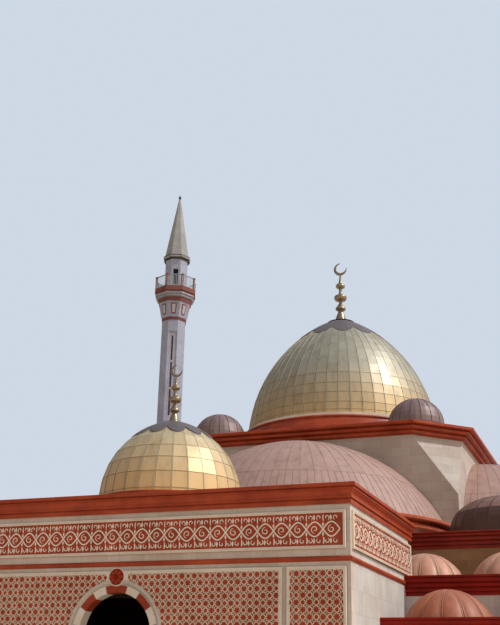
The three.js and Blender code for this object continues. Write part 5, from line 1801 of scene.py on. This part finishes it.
# %% Scroll of the frieze
def frieze_module():
    """One repeat of the scroll, from x = 0 to MODULE, flat in the plane y = 0."""
    waves = [[], []]
    for i in range(25):
        x = MODULE * i / 24
        waves[0].append((x, 0.3 * math.sin(2 * math.pi * i / 24)))
        waves[1].append((x, -0.3 * math.sin(2 * math.pi * i / 24)))
    strokes = [ribbon(waves[0], 0.056, 0.004, ends=1), ribbon(waves[1], 0.056, ends=1)]
    for i, middle in enumerate((MODULE * 0.25, MODULE * 0.75)):
        flip = 1 if i else -1
        strokes.append(ribbon(spiral(middle, 0, 90 * flip, 1.15 * flip, 0.17, 0.04), 0.04, 0.008))
        strokes.append(leaf(middle - 0.03, 0.36, 90, 0.24))
        strokes.append(leaf(middle - 0.03, -0.36, -90, 0.24))
        for up in (1, -1):
            for x, start, turns in ((middle - 0.2, -60, 0.85), (middle + 0.19, 240, -0.85)):
                curl = spiral(x, up * 0.47, start * up, turns * up, 0.12, 0.03, 10)
                strokes.append(ribbon(curl, 0.038))
    for crossing in (0.002, MODULE * 0.5):
        strokes.append(leaf(crossing, 0.1, 90, 0.2))
        strokes.append(leaf(crossing, -0.1, -90, 0.2))
        strokes.append(ribbon(bow(crossing + 0.02, 0.32, crossing + 0.02, 0.6, 0.02), 0.045))
        strokes.append(ribbon(bow(crossing + 0.02, -0.32, crossing + 0.02, -0.6, 0.02), 0.06))
    return joined("frieze_module", strokes)


def run_of(module, count, stretch):
    """The module arrayed along x, centred on x = 0, facing -y, with its thickness."""
    piece = copy_of(module, "frieze_run")
    piece.scale = (stretch, 1, 1)
    arrayed(settled(piece), count, (MODULE * stretch, 0, 0))
    faced_out(moved(piece, -MODULE * stretch * count / 2, 0, 0))
    return thickened(piece, RELIEF)


module = frieze_module()
front_run = moved(run_of(module, 14, 0.995), 0, ENTRANCE_FRONT - 0.05 - RELIEF / 2, FRIEZE_MIDDLE)
put_away(front_run, vine_stone)
for side, sign in SIGNED_SIDES:
    side_run = run_of(module, 7, 1.05)
    side_run.matrix_world = (
        Matrix.Translation(spot(sign * (ENTRANCE_HALF + 0.05 + RELIEF / 2), -30.8, FRIEZE_MIDDLE))
        @ Matrix.Rotation(math.radians(90 * sign), 4, "Z")
    )
    side_run.name = f"frieze_vines_{side}"
    put_away(side_run, vine_stone)
bpy.data.objects.remove(module)

# %% [markdown]
# The sides that the picture doesn't show repeat the same materials: a red roll round the hall, a cream
# frame and a red field in every bay, and a ring of red and cream stones round each doorway. All of it is
# made against the front and then turned to its own side.

# %% Unseen sides of the hall
hall_roll = moulding("hall_string_course", real([
    (HALL_HALF, -HALL_DEPTH, STRING_LOW), (HALL_HALF, HALL_DEPTH, STRING_LOW),
    (-HALL_HALF, HALL_DEPTH, STRING_LOW), (-HALL_HALF, -HALL_DEPTH, STRING_LOW),
]), real(roll_profile), closed=False)
put_away(hall_roll, red_stone)

PLAIN_SIDES = {
    "rear": (180, HALL_DEPTH, (-16.5, -11, -5.5, 5.5, 11, 16.5)),
    "right": (90, HALL_HALF, (-16.5, -11, -5.5, 5.5, 11)),
    "left": (-90, HALL_HALF, (16.5, 11, 5.5, -5.5, -11)),
}
BAY_HALF, BAY_FIELD_HALF, SURROUND, COURSE = 2.2, 2.19, 0.34, 0.734


def turned_to(turn, name, pieces, finish):
    whole = joined(name, pieces)
    whole.matrix_world = Matrix.Rotation(math.radians(turn), 4, "Z")
    put_away(whole, finish)


def surround_stone(points, wall):
    return extruded("surround", [spot(x, -wall - 0.05, z) for x, z in points], (0, 0.1 * M, 0))


for side, (turn, wall, bays) in PLAIN_SIDES.items():
    frames = []
    fields = []
    for x in bays:
        corners = rectangle(x - BAY_HALF, x + BAY_HALF, SCREEN_LOW, SCREEN_HIGH)
        path = real([(a, -wall, z) for a, z in corners])
        frames.append(moulding("bay_frame", path, real(frame_profile), lift=TO_FRONT))
        low = (x - BAY_FIELD_HALF, 0.04 - wall, SCREEN_LOW + 0.01)
        high = (x + BAY_FIELD_HALF, 0.12 - wall, SCREEN_HIGH - 0.01)
        fields.append(solid("bay_field", low, high))
    turned_to(turn, f"bay_frames_{side}", frames, cream_stone)
    turned_to(turn, f"bay_fields_{side}", fields, bay_red)
    tones = ([], [])
    near, far = OPEN + 0.01, OPEN + SURROUND
    for i in range(9):
        start, end = 20 * i + 0.3, 20 * (i + 1) - 0.3
        ring = arc_points((0, SPRING), far, start, end, 3) + arc_points((0, SPRING), near, end, start, 3)
        tones[i % 2].append(surround_stone(ring, wall))
    for i in range(5):
        low, high = 0.15 + i * COURSE, 0.14 + (i + 1) * COURSE
        for sign in (-1, 1):
            tones[i % 2].append(surround_stone(rectangle(sign * near, sign * far, low, high), wall))
    turned_to(turn, f"doorway_red_stones_{side}", tones[0], portal_red)
    turned_to(turn, f"doorway_cream_stones_{side}", tones[1], cream_stone)

# %% [markdown]
# Last come the floor, which is only a stage.

# %% Floor
bpy.ops.mesh.primitive_plane_add(size=400, location=(0, 0, -0.004))
ground = bpy.context.object
ground.name = "pale_floor"
ground.data.materials.append(dull_paint("pale_floor_paint", "d3c3b1", "ccbcaa", 0.9))
